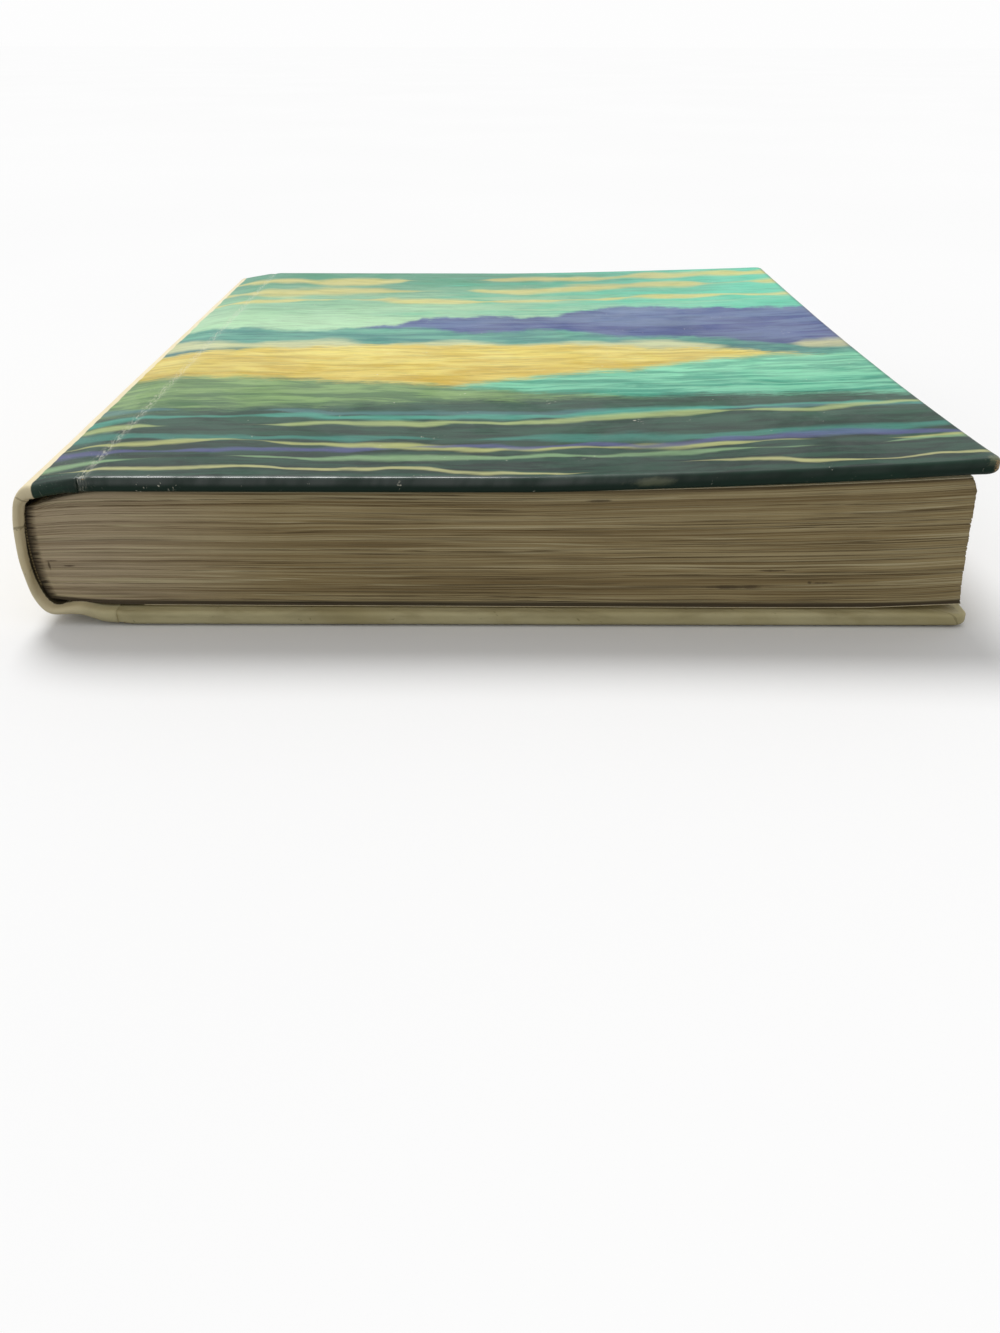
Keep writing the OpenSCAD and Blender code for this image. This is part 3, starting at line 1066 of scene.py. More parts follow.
@dataclass(frozen=True)
class PaperFinish:
    """The aged page edges, with a line for each bundle of pages, and the plain papers inside.

    A stain is an oval: its place along the rim and up the layers and its half sizes, in millimetres.
    """

    page: str = "#b5a275"
    page_dark: str = "#9a8457"
    page_painted_light: str = "#cab799"
    line: str = "#6d562e"
    line_light: str = "#d3c69c"
    line_deep: str = "#46371b"
    stain: str = "#433621"
    # deep colours both the real dark glue teeth at the back and the painted shade at the lowest leaves,
    # highest leaves and back
    deep: str = "#2c2210"
    stains: tuple[tuple[float, float, float, float], ...] = (
        (154.3, 4.6, 8.4, 0.5), (173.6, 5.4, 3.6, 0.32), (170.6, 5.5, 0.7, 0.4), (162.0, 8.2, 5.0, 0.25),
        (4.0, 10.6, 1.5, 0.2), (7.4, 9.3, 1.5, 0.22), (3.2, 9.4, 0.3, 1.3), (124.0, 24.6, 3.0, 0.25),
    )
    endpaper: str = "#e4d9b8"
    endpaper_aged: str = "#d3c499"
    browning: str = "#c2ad7c"
    foxing: str = "#94703e"

    def edges(self, effects: Effects) -> bpy.types.Material:
        """The page edges: drawn-out lines along the layers, painted shade in the grooves between bundles,
        light leaves, painted light near the spine, and stains.

        Args:
            effects: The shared effects.

        Returns:
            The finished material.
        """
        finish = Finish("page edges")
        g = finish.graph
        flat = g.uv()
        across, _, _ = g.split(flat)
        wave = g.swing(g.noise(g.place(flat, (5.0, 9.0, 1.0)), 1.0, 2.0), 0.0045)
        bent = g.vector_sum(flat, g.join(0.0, wave))
        wide = g.noise(g.place(bent, (1.2, 34.0, 1.0)), 1.0, 3.0, 0.6)
        leaves = g.noise(g.place(bent, (1.3, 330.0, 1.0)), 1.0, 3.0, 0.6)
        single = g.noise(g.place(bent, (5.0, 760.0, 1.0), (2, 9, 0)), 1.0, 2.0, 0.6)
        broken = g.noise(g.place(bent, (3.6, 110.0, 1.0), (1, 4, 0)), 1.0, 3.0, 0.6)
        thin = g.math("ABSOLUTE", g.minus(leaves, 0.5))
        thin = g.times(g.step(thin, 0.045, 0.008), g.step(broken, 0.4, 0.6, 0.1, 0.8))
        thin = g.times(thin, g.step(across, 0.0, 0.2, 0.6, 1.0))
        bunches = g.noise(g.place(bent, (1.1, 150.0, 1.0), (5, 3, 0)), 1.0, 2.0, 0.5)
        color = g.blend(g.step(wide, 0.3, 0.7, 0.1, 0.75), linear(self.page), linear(self.page_dark))
        # painted light: the pages lighter towards the spine, as if lit from the left, offsetting the spine
        # sheet's shade
        color = g.lay(color, self.page_painted_light, g.step(across, 0.0, 0.26, 0.95, 0.0))
        for noise, dark, light in (
            (single, (0.5, 0.66, 0.0, 0.55), (0.42, 0.3, 0.0, 0.4)),
            (leaves, (0.52, 0.68, 0.0, 0.4), (0.43, 0.30, 0.0, 0.4)),
            (bunches, (0.55, 0.62, 0.0, 0.35), (0.42, 0.36, 0.0, 0.35)),
        ):
            color = g.lay(color, self.line, g.step(noise, *dark))
            color = g.lay(color, self.line_light, g.step(noise, *light))
        color = g.lay(color, self.line_deep, thin)
        pale = g.step(g.math("ABSOLUTE", g.minus(bunches, 0.5)), 0.02, 0.004)
        pale = g.times(pale, g.step(broken, 0.62, 0.42, 0.1, 0.7))
        color = g.lay(color, self.line_light, pale)
        color = g.lay(color, self.line_light, g.point_value("crest"), 0.4)
        # painted shade: the deep line colour laid into each bundle's groove, where shade falls
        gap = g.times(g.point_value("gap"), g.step(across, 0.0, 0.2, 0.5, 0.8))
        color = g.lay(color, self.line_deep, gap)
        for stain in self.stains:
            color = g.lay(color, self.stain, effects.stain(g, stain), 0.75)
        dirt = g.use(effects.grime, Vector=flat, Scale=16.0)
        color = g.lay(color, self.stain, dirt.outputs["Veil"], 0.1)
        notches = g.noise(g.place(flat, (26.0, 250.0, 1.0), (3, 7, 0)), 1.0, 2.0, 0.6)
        notches = g.times(g.step(notches, 0.5, 0.58), g.step(across, 0.0105, 0.004))
        color = g.lay(color, self.deep, notches, 0.8)
        # painted shade: the lowest and highest leaves and the back of the pages darkened where shade falls
        color = g.lay(color, self.deep, g.point_value("painted_shade"), 0.9)
        finish.dress(color, g.step(leaves, 0.2, 0.8, 0.75, 0.95), leaves, 0.5, 0.0003)
        return finish.material

    def leaf(self, effects: Effects) -> bpy.types.Material:
        """The endpapers: matte paper with fibres, foxed spots and browning.

        Args:
            effects: The shared effects.

        Returns:
            The finished material.
        """
        finish = Finish("endpaper")
        g = finish.graph
        here = g.object_place()
        fibres = g.use(effects.fibre, Vector=here, Scale=260.0).outputs[0]
        dirt = g.use(effects.grime, Vector=here, Scale=14.0)
        color = g.blend(g.step(fibres, 0.3, 0.7), linear(self.endpaper), linear(self.endpaper_aged))
        color = g.lay(color, self.browning, dirt.outputs["Veil"], 0.3)
        color = g.lay(color, self.foxing, dirt.outputs["Specks"], 0.35)
        finish.dress(color, g.step(fibres, 0.2, 0.8, 0.72, 0.9), fibres, 0.25, 0.0002)
        return finish.material


@dataclass(frozen=True)
class BoardFinish:
    """The grey-brown boards, the spine's card strip and the cloth lining.

    The cloth's threads lie a set distance apart, in metres.
    """

    board: str = "#a58b62"
    board_dark: str = "#7d6744"
    # the cloth is kept darker than plain mull: partly its own colour, partly painted shade where the lining
    # shows in the gap at the spine's end
    cloth: str = "#80724f"
    cloth_gap: str = "#5b4e33"
    fleck: str = "#4d3d25"
    thread: float = 0.0007

    def pressed(self, effects: Effects, name: str) -> bpy.types.Material:
        """Pressed board: fibres and darker flecks.

        Args:
            effects: The shared effects.
            name: Name of the material.

        Returns:
            The finished material.
        """
        finish = Finish(name)
        g = finish.graph
        here = g.object_place()
        fibres = g.use(effects.fibre, Vector=here, Scale=180.0).outputs[0]
        flecks = g.use(effects.grime, Vector=here, Scale=60.0).outputs["Specks"]
        color = g.blend(g.step(fibres, 0.3, 0.7), linear(self.board), linear(self.board_dark))
        color = g.lay(color, self.fleck, flecks, 0.5)
        finish.dress(color, g.step(fibres, 0.2, 0.8, 0.8, 0.95), fibres, 0.4)
        return finish.material

    def woven(self) -> bpy.types.Material:
        """Open-weave cloth: two crossing sets of threads with glue between them.

        Returns:
            The finished material.
        """
        finish = Finish("lining cloth")
        g = finish.graph
        _, y, z = g.split(g.object_place())
        waves = [g.math("SINE", g.times(way, math.pi / self.thread)) for way in (y, z)]
        threads = [g.math("ABSOLUTE", wave) for wave in waves]
        weave = g.math("MAXIMUM", threads[0], threads[1])
        color = g.blend(g.step(weave, 0.55, 0.85), linear(self.cloth_gap), linear(self.cloth))
        finish.dress(color, g.step(weave, 0.4, 0.9, 0.95, 0.8), weave, 0.5)
        return finish.material


@dataclass
class CoverWrap:
    """A cover's sheet, wrapped round three edges of its board and turned in behind it.

    Sizes are in millimetres.
    """

    name: str
    node: str
    slot: str
    body: Body
    face: Face
    hinge_x: float
    edge_top: float = 1.15
    edge_foot: float = 0.9
    field_inset: float = 8.0
    corner: float = 2.5
    tongue: float = 1.5
    crease_end: float = 4.0
    dent_wide: float = 0.055
    dent_small: float = 0.03
    dent_press: float = 0.7
    dent_cells: tuple[float, float] = (9.0, 2.6)
    crease_w: float = 1.5
    score_d: float = 0.1
    score_w: float = 0.7
    lap_gap: float = 0.02
    lap_in: float = 0.4
    wave_h: float = 0.05
    wave_cells: tuple[float, float] = (34.0, 41.0)
    worn_reach: float = 5.0
    puff_out: float = 0.25
    puff_down: float = 0.45
    slack: float = 0.05
    margin_steps: int = 7
    edge_steps: int = 8
    side_steps: int = 4
    turn_steps: int = 9
    crease_points: int = 20
    across: int = 88
    along: int = 100
    corner_half: int = 5
    seed: int = 4

    def across_line(self, reach: Array) -> Array:
        """Places across the cover: close together at the crease, then even as far as the corner box.

        Args:
            reach: Where the corner box starts, one for each row.

        Returns:
            Places from the hinge, in rows.
        """
        near = np.linspace(-self.tongue, self.crease_end, self.crease_points)
        far = np.linspace(0, 1, self.across - self.crease_points + 1)[1:]
        end = np.asarray(reach)[..., None]
        rows = np.broadcast_to(near, end.shape[:-1] + near.shape)
        return np.concatenate([rows, self.crease_end + far * (end - self.crease_end)], axis=-1)

    def plan_width(self, y: Array) -> Array:
        """Width of the cover at each height. The front one is splayed at its tail corner."""
        splay = SIZES.splay(y) if self.face is Face.UP else 0.0 * y
        return SIZES.cover_w + splay

    def path(self, inset: float, square: float) -> Array:
        """Run along the tail edge, the fore-edge and the head edge, moved in from the outline.

        Straight runs join at corner boxes. In a box the run is a quarter circle, blended towards the
        box's own square corner.

        Args:
            inset: Distance from the outline, negative outside it.
            square: Share of the square corner, 0 for the circle and 1 for the square.

        Returns:
            Points of the plan in order, from the hinge and back to it.
        """
        h, a = SIZES.cover_h, self.corner
        turn = np.radians(np.linspace(0, 90, 2 * self.corner_half + 1)[1:])
        low = turn <= np.pi / 4 + 1e-9
        box_x = np.where(low, a * np.tan(np.minimum(turn, np.pi / 4)), a)
        box_y = np.where(low, 0, a - a * np.tan(np.minimum(np.pi / 2 - turn, np.pi / 4)))
        off_x = square * box_x + (1 - square) * a * np.sin(turn)
        off_y = square * box_y + (1 - square) * (a - a * np.cos(turn))
        tail_x = self.across_line(self.plan_width(np.array(inset)) - inset - a)
        corner_y = inset + off_y
        corner_x = self.plan_width(corner_y) - inset - a + off_x
        fore_y = np.linspace(inset + a, h - inset - a, self.along + 1)[1:]
        fore_x = self.plan_width(fore_y) - inset
        head_y = np.append((h - corner_y[::-1])[1:], h - inset)
        head_off = np.append(off_x[::-1][1:], 0.0)
        head_x = self.plan_width(head_y) - inset - a + head_off
        back_x = self.across_line(self.plan_width(np.array(h - inset)) - inset - a)[::-1][1:]
        xs = np.concatenate([tail_x, corner_x, fore_x, head_x, back_x])
        tail_y, back_y = np.full(self.across, inset), np.full(self.across - 1, h - inset)
        ys = np.concatenate([tail_y, corner_y, fore_y, head_y, back_y])
        return np.stack([xs, ys], axis=-1)

    def profile(self) -> Array:
        """Section over the edge: top margin, rounded edge, side, rounded foot and turn-in.

        Returns:
            Rows of inset, depth under the outer face and inset of the unrolled sheet.
        """
        top, foot, depth = self.edge_top, self.edge_foot, SIZES.cover_t
        a = np.radians(np.linspace(0, 90, self.edge_steps))
        margin = np.linspace(self.field_inset, top, self.margin_steps)[1:]
        sides = np.linspace(top, depth - foot, self.side_steps)[1:-1]
        turn_in = np.linspace(foot, SIZES.turn_in, self.turn_steps)[1:]
        inset = np.concatenate([margin, top * (1 - np.sin(a))[1:], 0 * sides, foot * (1 - np.cos(a)),
                                turn_in])
        under = np.concatenate([0 * margin, top * (1 - np.cos(a))[1:], sides, depth - foot * (1 - np.sin(a)),
                                np.full(len(turn_in), depth)])
        run = np.cumsum(np.hypot(np.diff(inset), np.diff(under)))
        unrolled = np.concatenate([[margin[0]], margin[0] - run])
        return np.stack([inset, under, unrolled], axis=-1)

    def outer_z(self, x: Array, y: Array, under: Array) -> Array:
        """Height of a point at some depth under the outer face.

        The front's outer face is its flat top, plus the curl's lift, less the pressed crease and
        with a faint waviness. The back's outer face is flat on the table. Past its crease each
        sheet follows the joint, which falls by a power of the way or rises by a cosine.

        Args:
            x: Distance from the hinge crease.
            y: Distance from the tail edge.
            under: Depth under the outer face.

        Returns:
            Heights.
        """
        s = SIZES
        share = 1 - under / s.cover_t
        dip = s.crease_d * np.exp(-(np.maximum(x, 0) / self.crease_w) ** 2)
        dip = dip + self.score_d * np.exp(-(x / self.score_w) ** 2)
        past = np.maximum(0, -x)
        gap = self.lap_gap * (past > 0)
        if self.face is Face.DOWN:
            rise = s.joint_rise * (1 - np.cos(np.pi * past / (s.joint_w + s.slip))) / 2
            return under + rise + share * (dip - gap)
        fall = s.joint_drop * (past / s.joint_w) ** s.joint_power
        wave = self.wave_h * Ripple(self.seed, *self.wave_cells).at(x, y) * smooth(0, 20, x)
        return s.front_top + s.lift(x, y) - under - fall - share * (dip - wave - gap)

    def worn(self, points: Array, rim: Array, tail_corner: Array) -> Array:
        """Press dents into the edges and puff up the worn tail corner.

        Args:
            points: Points of the wrap.
            rim: Unrolled distance inside the outline.
            tail_corner: Closeness to the worn corner, 0 to 1.

        Returns:
            The moved points.
        """
        x, y, z = points.T
        on_edge = smooth(1.5, 0.2, rim) * smooth(-9.0, -4.0, rim)
        wide, small = [Ripple(self.seed + 1 + number, cell, cell).at(x, y)
                       for number, cell in enumerate(self.dent_cells)]
        dents = self.dent_wide * wide + self.dent_small * small
        tail = np.where(y < SIZES.cover_h / 2, 1.0, -1.0)
        lapped = self.lap_in * smooth(0.5, -self.tongue, x)
        x = x - on_edge * dents * smooth(150, 180, x)
        y = y + on_edge * (np.abs(dents) + lapped) * tail
        pressed = self.dent_press * on_edge * np.maximum(-dents, 0.0) * smooth(4, 12, x)
        puff = tail_corner * on_edge
        x = x + self.puff_out * puff
        z = z + self.face.value * pressed - self.puff_down * puff * smooth(-1.5, -4.0, rim)
        return np.stack([x, y, z], axis=-1)

    def skin(self) -> Skin:
        """Join the flat field and the wrapped border into one surface.

        Returns:
            The surface, with its distance from the rim and from the worn corner.
        """
        border = self.path(self.field_inset, 1.0)
        nx = self.across + self.corner_half
        ny = self.along + 2 * self.corner_half + 1
        rows = border[nx - 1:nx - 1 + ny, 1]
        width = self.plan_width(rows) - self.field_inset
        box = self.corner * np.tan(np.radians(np.linspace(0, 45, self.corner_half + 1)))[1:]
        field_x = np.concatenate([self.across_line(width - self.corner),
                                  (width - self.corner)[:, None] + box[None, :]], axis=1)
        field_y = np.repeat(rows[:, None], nx, axis=1)
        inner = np.arange(nx * ny).reshape(ny, nx)
        ring = np.concatenate([inner[0], inner[1:, -1], inner[-1, -2::-1]])
        middle = np.stack([field_x.ravel(), field_y.ravel()], -1)
        plan, flat, bands = [middle], [middle], [ring]
        depth, rim = [np.zeros(nx * ny)], [np.full(nx * ny, self.field_inset)]
        for inset, under, unrolled in self.profile():
            square = float(smooth(0.0, 4.0, np.array(inset)))
            plan.append(self.path(inset, square))
            flat.append(self.path(unrolled, square))
            depth.append(np.full(len(ring), under))
            rim.append(np.full(len(ring), unrolled))
            bands.append(np.arange(len(ring)) + nx * ny + len(ring) * (len(bands) - 1))
        plan_xy, under, rim_all = np.concatenate(plan), np.concatenate(depth), np.concatenate(rim)
        points = np.column_stack([plan_xy, self.outer_z(plan_xy[:, 0], plan_xy[:, 1], under)])
        off = np.hypot(plan_xy[:, 0] - self.plan_width(np.zeros(1))[0], plan_xy[:, 1])
        tail_corner = np.exp(-(off / self.worn_reach) ** 2)
        points = self.worn(points, rim_all, tail_corner)
        points[:, 0] += self.hinge_x
        faces = np.concatenate([grid_faces(inner.T), grid_faces(np.array(bands).T[:, ::-1])])
        if self.face is Face.DOWN:
            faces = faces[:, ::-1]
        return Skin(points, faces, np.concatenate(flat), {"rim": rim_all, "corner": tail_corner})

    def make(self, material: bpy.types.Material) -> bpy.types.Object:
        """Build the wrap, dress it and let it stand for its solid.

        Args:
            material: Its finish.

        Returns:
            The piece.
        """
        piece = self.skin().build(self.name)
        piece.data.materials.append(material)
        thicken(piece, SIZES.sheet_t - self.slack)
        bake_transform(piece)
        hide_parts(self.node)
        return piece


@dataclass
class SpineCase:
    """The sheet over the spine and both joints, folded in at the head and the tail.

    Sizes are in millimetres. The tuck's rows go from deep inside out to the fold.
    """

    joint_points: int = 16
    arch_points: int = 56
    end_points: int = 12
    long_points: int = 90
    lap: float = 1.0
    slack: float = 0.07
    scoop_d: float = 0.6
    end_r: float = 1.0
    joint_r: float = 1.0
    fold_run: float = 2.2
    fold_lap: float = 2.0
    uneven_d: float = 0.12
    crumple_d: float = 0.22
    seed: int = 12
    tuck_y: tuple[float, ...] = (15.0, 9.0, 5.0, 3.4, 2.9, 2.5, 2.0, 1.5)
    tuck_lip: tuple[float, ...] = (0.0, 0.0, 0.0, 0.0, 0.1, 0.6, 0.8, 0.5)
    # painted shade inside the turned-in end, strongest deep inside the gap
    tuck_painted_shade: tuple[float, ...] = (1.0, 1.0, 1.0, 1.0, 0.9, 0.6, 0.3, 0.1)

    def line(self, depth_share: Array, lip: Array) -> tuple[Array, Array]:
        """Run from the front crease over the spine to the back crease, at shares of the fold's depth.

        The front joint falls by a power of the way, the spine is a rounded arch, and the back joint
        rises by a cosine. The fold is a board's thickness deep at the joints and thin at the spine.

        Args:
            depth_share: Shares of the fold's depth, one for each row.
            lip: How far each row stands in past the fold at the spine, in millimetres.

        Returns:
            Points across and up, in rows, and the distance along the outer line.
        """
        s = SIZES
        u = np.linspace(self.lap / s.joint_w, 1, self.joint_points)
        front = np.stack([-s.joint_w * u, s.front_top - s.crease_d - s.joint_drop * u ** s.joint_power], -1)
        angle = np.linspace(90, -90, self.arch_points)[1:-1]
        near = smooth(s.tuck_angle, 90.0, angle)
        arch_depth = s.panel_t + (s.cover_t - s.panel_t) * near
        u = np.linspace(0, 1 - self.lap / (s.joint_w + s.slip), self.joint_points)
        scoop = self.scoop_d * np.sin(np.pi * np.clip((u - 0.04) / 0.7, 0, 1)) ** 2
        back = np.stack([-s.joint_w + (s.joint_w + s.slip) * u,
                         s.crease_d + s.joint_rise * (1 + np.cos(np.pi * u)) / 2 + scoop], -1)
        back_depth = s.panel_t + (s.cover_t - s.panel_t) * u
        d_front = depth_share[:, None] * np.full(self.joint_points, s.cover_t)
        uneven = Ripple(self.seed + 2, 9.0, 1.0).at(angle, 0.0 * angle)
        fringe = (0.1 + 0.9 * smooth(0.0, 60.0, angle)) * (0.8 + 0.2 * uneven)
        d_arch = depth_share[:, None] * arch_depth + lip[:, None] * fringe * smooth(80.0, 60.0, np.abs(angle))
        d_back = depth_share[:, None] * back_depth
        cos, sin = np.cos(np.radians(angle)), np.sin(np.radians(angle))
        bow = 2 / s.arch_power
        arch_x = -s.joint_w - (s.spine_round - d_arch) * cos ** bow
        arch_z = s.arch_mid + (s.arch_half - d_arch) * np.sign(sin) * np.abs(sin) ** bow
        front_x = np.broadcast_to(front[:, 0], d_front.shape)
        back_x = np.broadcast_to(back[:, 0], d_back.shape)
        x = np.concatenate([front_x, arch_x, back_x], axis=1)
        z = np.concatenate([front[:, 1] - d_front, arch_z, back[:, 1] + d_back], axis=1)
        round_x = -s.joint_w - s.spine_round * cos ** bow
        round_z = s.arch_mid + s.arch_half * np.sign(sin) * np.abs(sin) ** bow
        outer = np.concatenate([front, np.stack([round_x, round_z], -1), back])
        along = self.lap + np.concatenate([[0.0], np.cumsum(np.hypot(*np.diff(outer, axis=0).T))])
        return np.stack([x, z], -1), along

    def skin(self) -> Skin:
        """Carry the line along the book's height, round its ends and back inside.

        Returns:
            The surface, with its distance from the folded ends.
        """
        h, t = SIZES.cover_h, SIZES.turn_in
        theta = np.radians(np.linspace(180, 0, self.end_points))
        end_y, end_depth = 1 - np.sin(theta), (1 - np.cos(theta)) / 2
        tuck = np.array(self.tuck_y)
        half_turn = np.concatenate([(tuck - self.end_r) / (t - self.end_r), np.zeros(self.end_points)])
        half_end = np.concatenate([np.ones(len(tuck)), end_y])
        half_depth = np.concatenate([np.ones(len(tuck)), end_depth])
        half_lip = np.concatenate([np.array(self.tuck_lip), np.zeros(self.end_points)])
        run = np.linspace(0, 1, self.long_points)[1:-1]
        share = np.concatenate([half_depth, np.zeros(len(run)), half_depth[::-1]])
        lip = np.concatenate([half_lip, np.zeros(len(run)), half_lip[::-1]])
        line, along = self.line(share, lip)
        reach = self.end_r + self.joint_r * smooth(14.0, 9.0, along) * smooth(1.0, 5.0, along)
        low_y = half_end[:, None] * reach + half_turn[:, None] * (t - reach)
        mid_y = reach + run[:, None] * (h - 2 * reach)
        y = np.concatenate([low_y, mid_y, (h - low_y)[::-1]])
        x, z = line[..., 0], line[..., 1]
        half_fold = half_depth * self.fold_run + half_turn * (t - self.fold_lap)
        fold = np.concatenate([half_fold, np.zeros(len(run)), half_fold[::-1]])
        side = np.concatenate([-np.ones(len(half_end)), np.zeros(len(run)), np.ones(len(half_end))])
        flat_v = y + (side * fold)[:, None]
        rim = np.minimum(y, h - y) - fold[:, None]
        uneven = self.uneven_d * Ripple(self.seed, 9.0, 12.0).at(along[None, :], y) * smooth(3.0, 9.0, along)
        crumple = self.crumple_d * Ripple(self.seed + 1, 5.0, 3.0).at(along[None, :], y)
        crumple = crumple * smooth(9.0, 1.0, np.minimum(y, h - y)) * smooth(13.0, 18.0, along)
        x = x + (uneven + crumple) * smooth(50.0, 42.0, along)
        points = np.stack([x, y, z], -1).reshape(-1, 3)
        uv = np.stack([np.broadcast_to(-along, y.shape), flat_v], -1).reshape(-1, 2)
        index = np.arange(y.size).reshape(y.shape)
        round_part = smooth(13.0, 15.5, along) * smooth(50.0, 46.0, along)
        # painted shade: dark inside the turned-in end, in the gap behind the spine's round
        half_painted_shade = np.concatenate([np.array(self.tuck_painted_shade), np.zeros(self.end_points)])
        dark = np.concatenate([half_painted_shade, np.zeros(len(run)), half_painted_shade[::-1]])
        inside = dark[:, None] * (0.3 + 0.7 * round_part)
        values = {"rim": rim.ravel(), "corner": np.zeros(y.size), "inside": inside.ravel()}
        return Skin(points, grid_faces(index), uv, values)

    def make(self, material: bpy.types.Material) -> bpy.types.Object:
        """Build the spine's sheet, dress it and let it stand for its solid.

        Args:
            material: Its finish.

        Returns:
            The piece.
        """
        piece = self.skin().build("spine_sheet")
        piece.data.materials.append(material)
        thicken(piece, SIZES.sheet_t - self.slack)
        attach(piece, Body.BLOCK.value)
        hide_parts("spine_covering")
        return piece


@dataclass
class PageBlock:
    """The sewn pages: one block whose edges show bundles, gaps and single leaves.

    Sizes are in millimetres. The highest page follows a share of the cover's lift.
    """

    levels: int = 176
    tail_points: int = 120
    fore_points: int = 76
    dense_points: int = 12
    dense_share: float = 0.12
    bundles: int = 26
    groove: float = 0.26
    groove_power: int = 14
    crest_power: int = 6
    crest_shift: float = 0.3
    leaf: float = 0.1
    fore_wobble: float = 0.12
    sway: float = 0.34
    level_share: float = 0.7
    follow: float = 0.85
    seed: int = 21

    def heights(self, x: Array, y: Array) -> tuple[Array, Array]:
        """Lowest and highest surface of the pages.

        Args:
            x: Distance from the crease.
            y: Distance from the tail edge.

        Returns:
            Heights of the lowest and of the highest page, which dip to the spine and follow the curl.
        """
        s = SIZES
        half = s.arch_half - s.block_in
        low_end = s.arch_mid - s.back_share_low * half
        high_end = s.arch_mid + s.back_share_high * half
        end_x = float(np.max(self.back_x(np.array([0.0, 1.0]))))
        dip = np.clip((s.shoulder_w - x) / (s.shoulder_w - end_x), 0, 1) ** s.dip_power
        along = np.maximum(0, (x - s.flat_w) / (s.fore_x - s.flat_w))
        tail = 1 + (s.foot_head_share - 1) * y / s.cover_h
        foot = s.pages_low + (low_end - s.pages_low) * dip + s.foot_curl * tail * along ** s.foot_power
        top = s.pages_low + s.pages_t
        head = top - (top - high_end) * dip + self.follow * s.lift(x, y)
        return foot, head

    def back_x(self, t: Array) -> Array:
        """Back of the pages at shares of their thickness, on the spine's arch.

        Args:
            t: Shares of the thickness.

        Returns:
            Distances from the crease.
        """
        s = SIZES
        level = -s.back_share_low + (s.back_share_low + s.back_share_high) * t
        bow = (1 - np.abs(level) ** s.arch_power) ** (1 / s.arch_power)
        return -s.joint_w - (s.spine_round - s.block_in) * bow

    def fore_x(self, t: Array) -> Array:
        """Fore-edge of the pages at shares of their thickness, leaning back and drawn in at the top.

        Args:
            t: Shares of the thickness.

        Returns:
            Distances from the crease.
        """
        s = SIZES
        drawn = np.maximum(0, (t - s.draw_share) / (1 - s.draw_share))
        return s.fore_x - s.page_lean * t ** s.lean_power - s.top_draw * drawn ** s.draw_power

    def gaps(self, t: Array, run: Array) -> tuple[Array, Array, Array]:
        """Depth of the edge at each level and place along the rim.

        Bundles leave grooves a cosine apart, whose places and depths wander along the rim, and single
        leaves stand out or in by fine noise.

        Args:
            t: Shares of the thickness.
            run: Distances along the rim.

        Returns:
            Depth of the edge, share of the deepest groove, and share of the crest beside it.
        """
        cells = ((70.0, 0.11), (24.0, 0.05), (90.0, 1.0 / self.bundles), (38.0, 0.008), (14.0, 0.006))
        far, near, swell, long, short = [Ripple(self.seed + number, *cell).at(run, t)
                                         for number, cell in enumerate(cells)]
        phase = self.bundles * t + 0.55 * far + 0.2 * near
        strong = 0.1 + 0.9 * smooth(-0.2, 0.7, swell)
        share = np.clip(np.cos(2 * np.pi * phase), 0, 1) ** self.groove_power * strong
        crest = np.clip(np.cos(2 * np.pi * (phase - self.crest_shift)), 0, 1) ** self.crest_power * strong
        fine = 0.6 * long + 0.4 * short
        return self.groove * share + self.leaf * (0.5 + 0.5 * fine), share, crest

    def layer(self, t: Array, u: Array, v: Array) -> Array:
        """Layer of the pages at each point of the rim, as a share of their thickness.

        The layers run nearly straight on to the spine, so past the shoulder the layer is a mix of the
        share of the height there and of the height itself.

        Args:
            t: Shares of the height.
            u: Shares of the way from the spine to the fore-edge.
            v: Shares of the way from the tail to the head.

        Returns:
            Shares of the pages' thickness.
        """
        s = SIZES
        x = self.back_x(t) + (self.fore_x(t) - self.back_x(t)) * u
        foot, head = self.heights(x, v * s.cover_h)
        straight = (foot + (head - foot) * t - s.pages_low) / s.pages_t
        return np.where(x < s.shoulder_w, t + self.level_share * (straight - t), t)

    def places(self) -> tuple[Array, Array]:
        """Shares of the way along the tail, closest together at the spine, and up the fore-edge.

        Returns:
            The shares along the tail, and those up the fore-edge without its start.
        """
        close = np.linspace(0, self.dense_share, self.dense_points)[:-1]
        even = np.linspace(self.dense_share, 1, self.tail_points - self.dense_points + 1)
        return np.concatenate([close, even]), np.linspace(0, 1, self.fore_points + 1)[1:]

    def rim(self, t: Array) -> tuple[Array, Array, Array, Array]:
        """Go once round the pages: along the tail, up the fore-edge, along the head and down the back.

        Args:
            t: Shares of the thickness.

        Returns:
            Shares from the spine to the fore-edge, shares from the tail to the head, distances along
            the rim, and 1 on the back and 0 elsewhere, one row each.
        """
        s = SIZES
        across, side = self.places()
        back = side[-2::-1]
        u = np.concatenate([across, np.ones(len(side)), across[::-1][1:], np.zeros(len(back))])
        v = np.concatenate([np.zeros(len(across)), side, np.ones(len(across) - 1), back])
        span_x, span_y = s.fore_x - self.back_x(t).min(), s.cover_h - 2 * s.square_h
        run = np.concatenate([across * span_x, span_x + side * span_y, span_x + span_y + across[1:] * span_x,
                              2 * span_x + span_y + (1 - back) * span_y])
        on_back = np.concatenate([np.zeros(u.size - len(back)), np.ones(len(back))])
        return u[None, :], v[None, :], run[None, :], on_back[None, :]

    def painted_shade_mask(self, t: Array, from_back: Array, run: Array) -> Array:
        """Painted shade: dark in the shadowed gaps at the lowest and the highest leaves, and along the back
        with a ragged edge where the spine's sheet shades the pages.

        Args:
            t: Shares of the thickness.
            from_back: Distances from the back.
            run: Distances along the rim.

        Returns:
            Shares of the painted shade.
        """
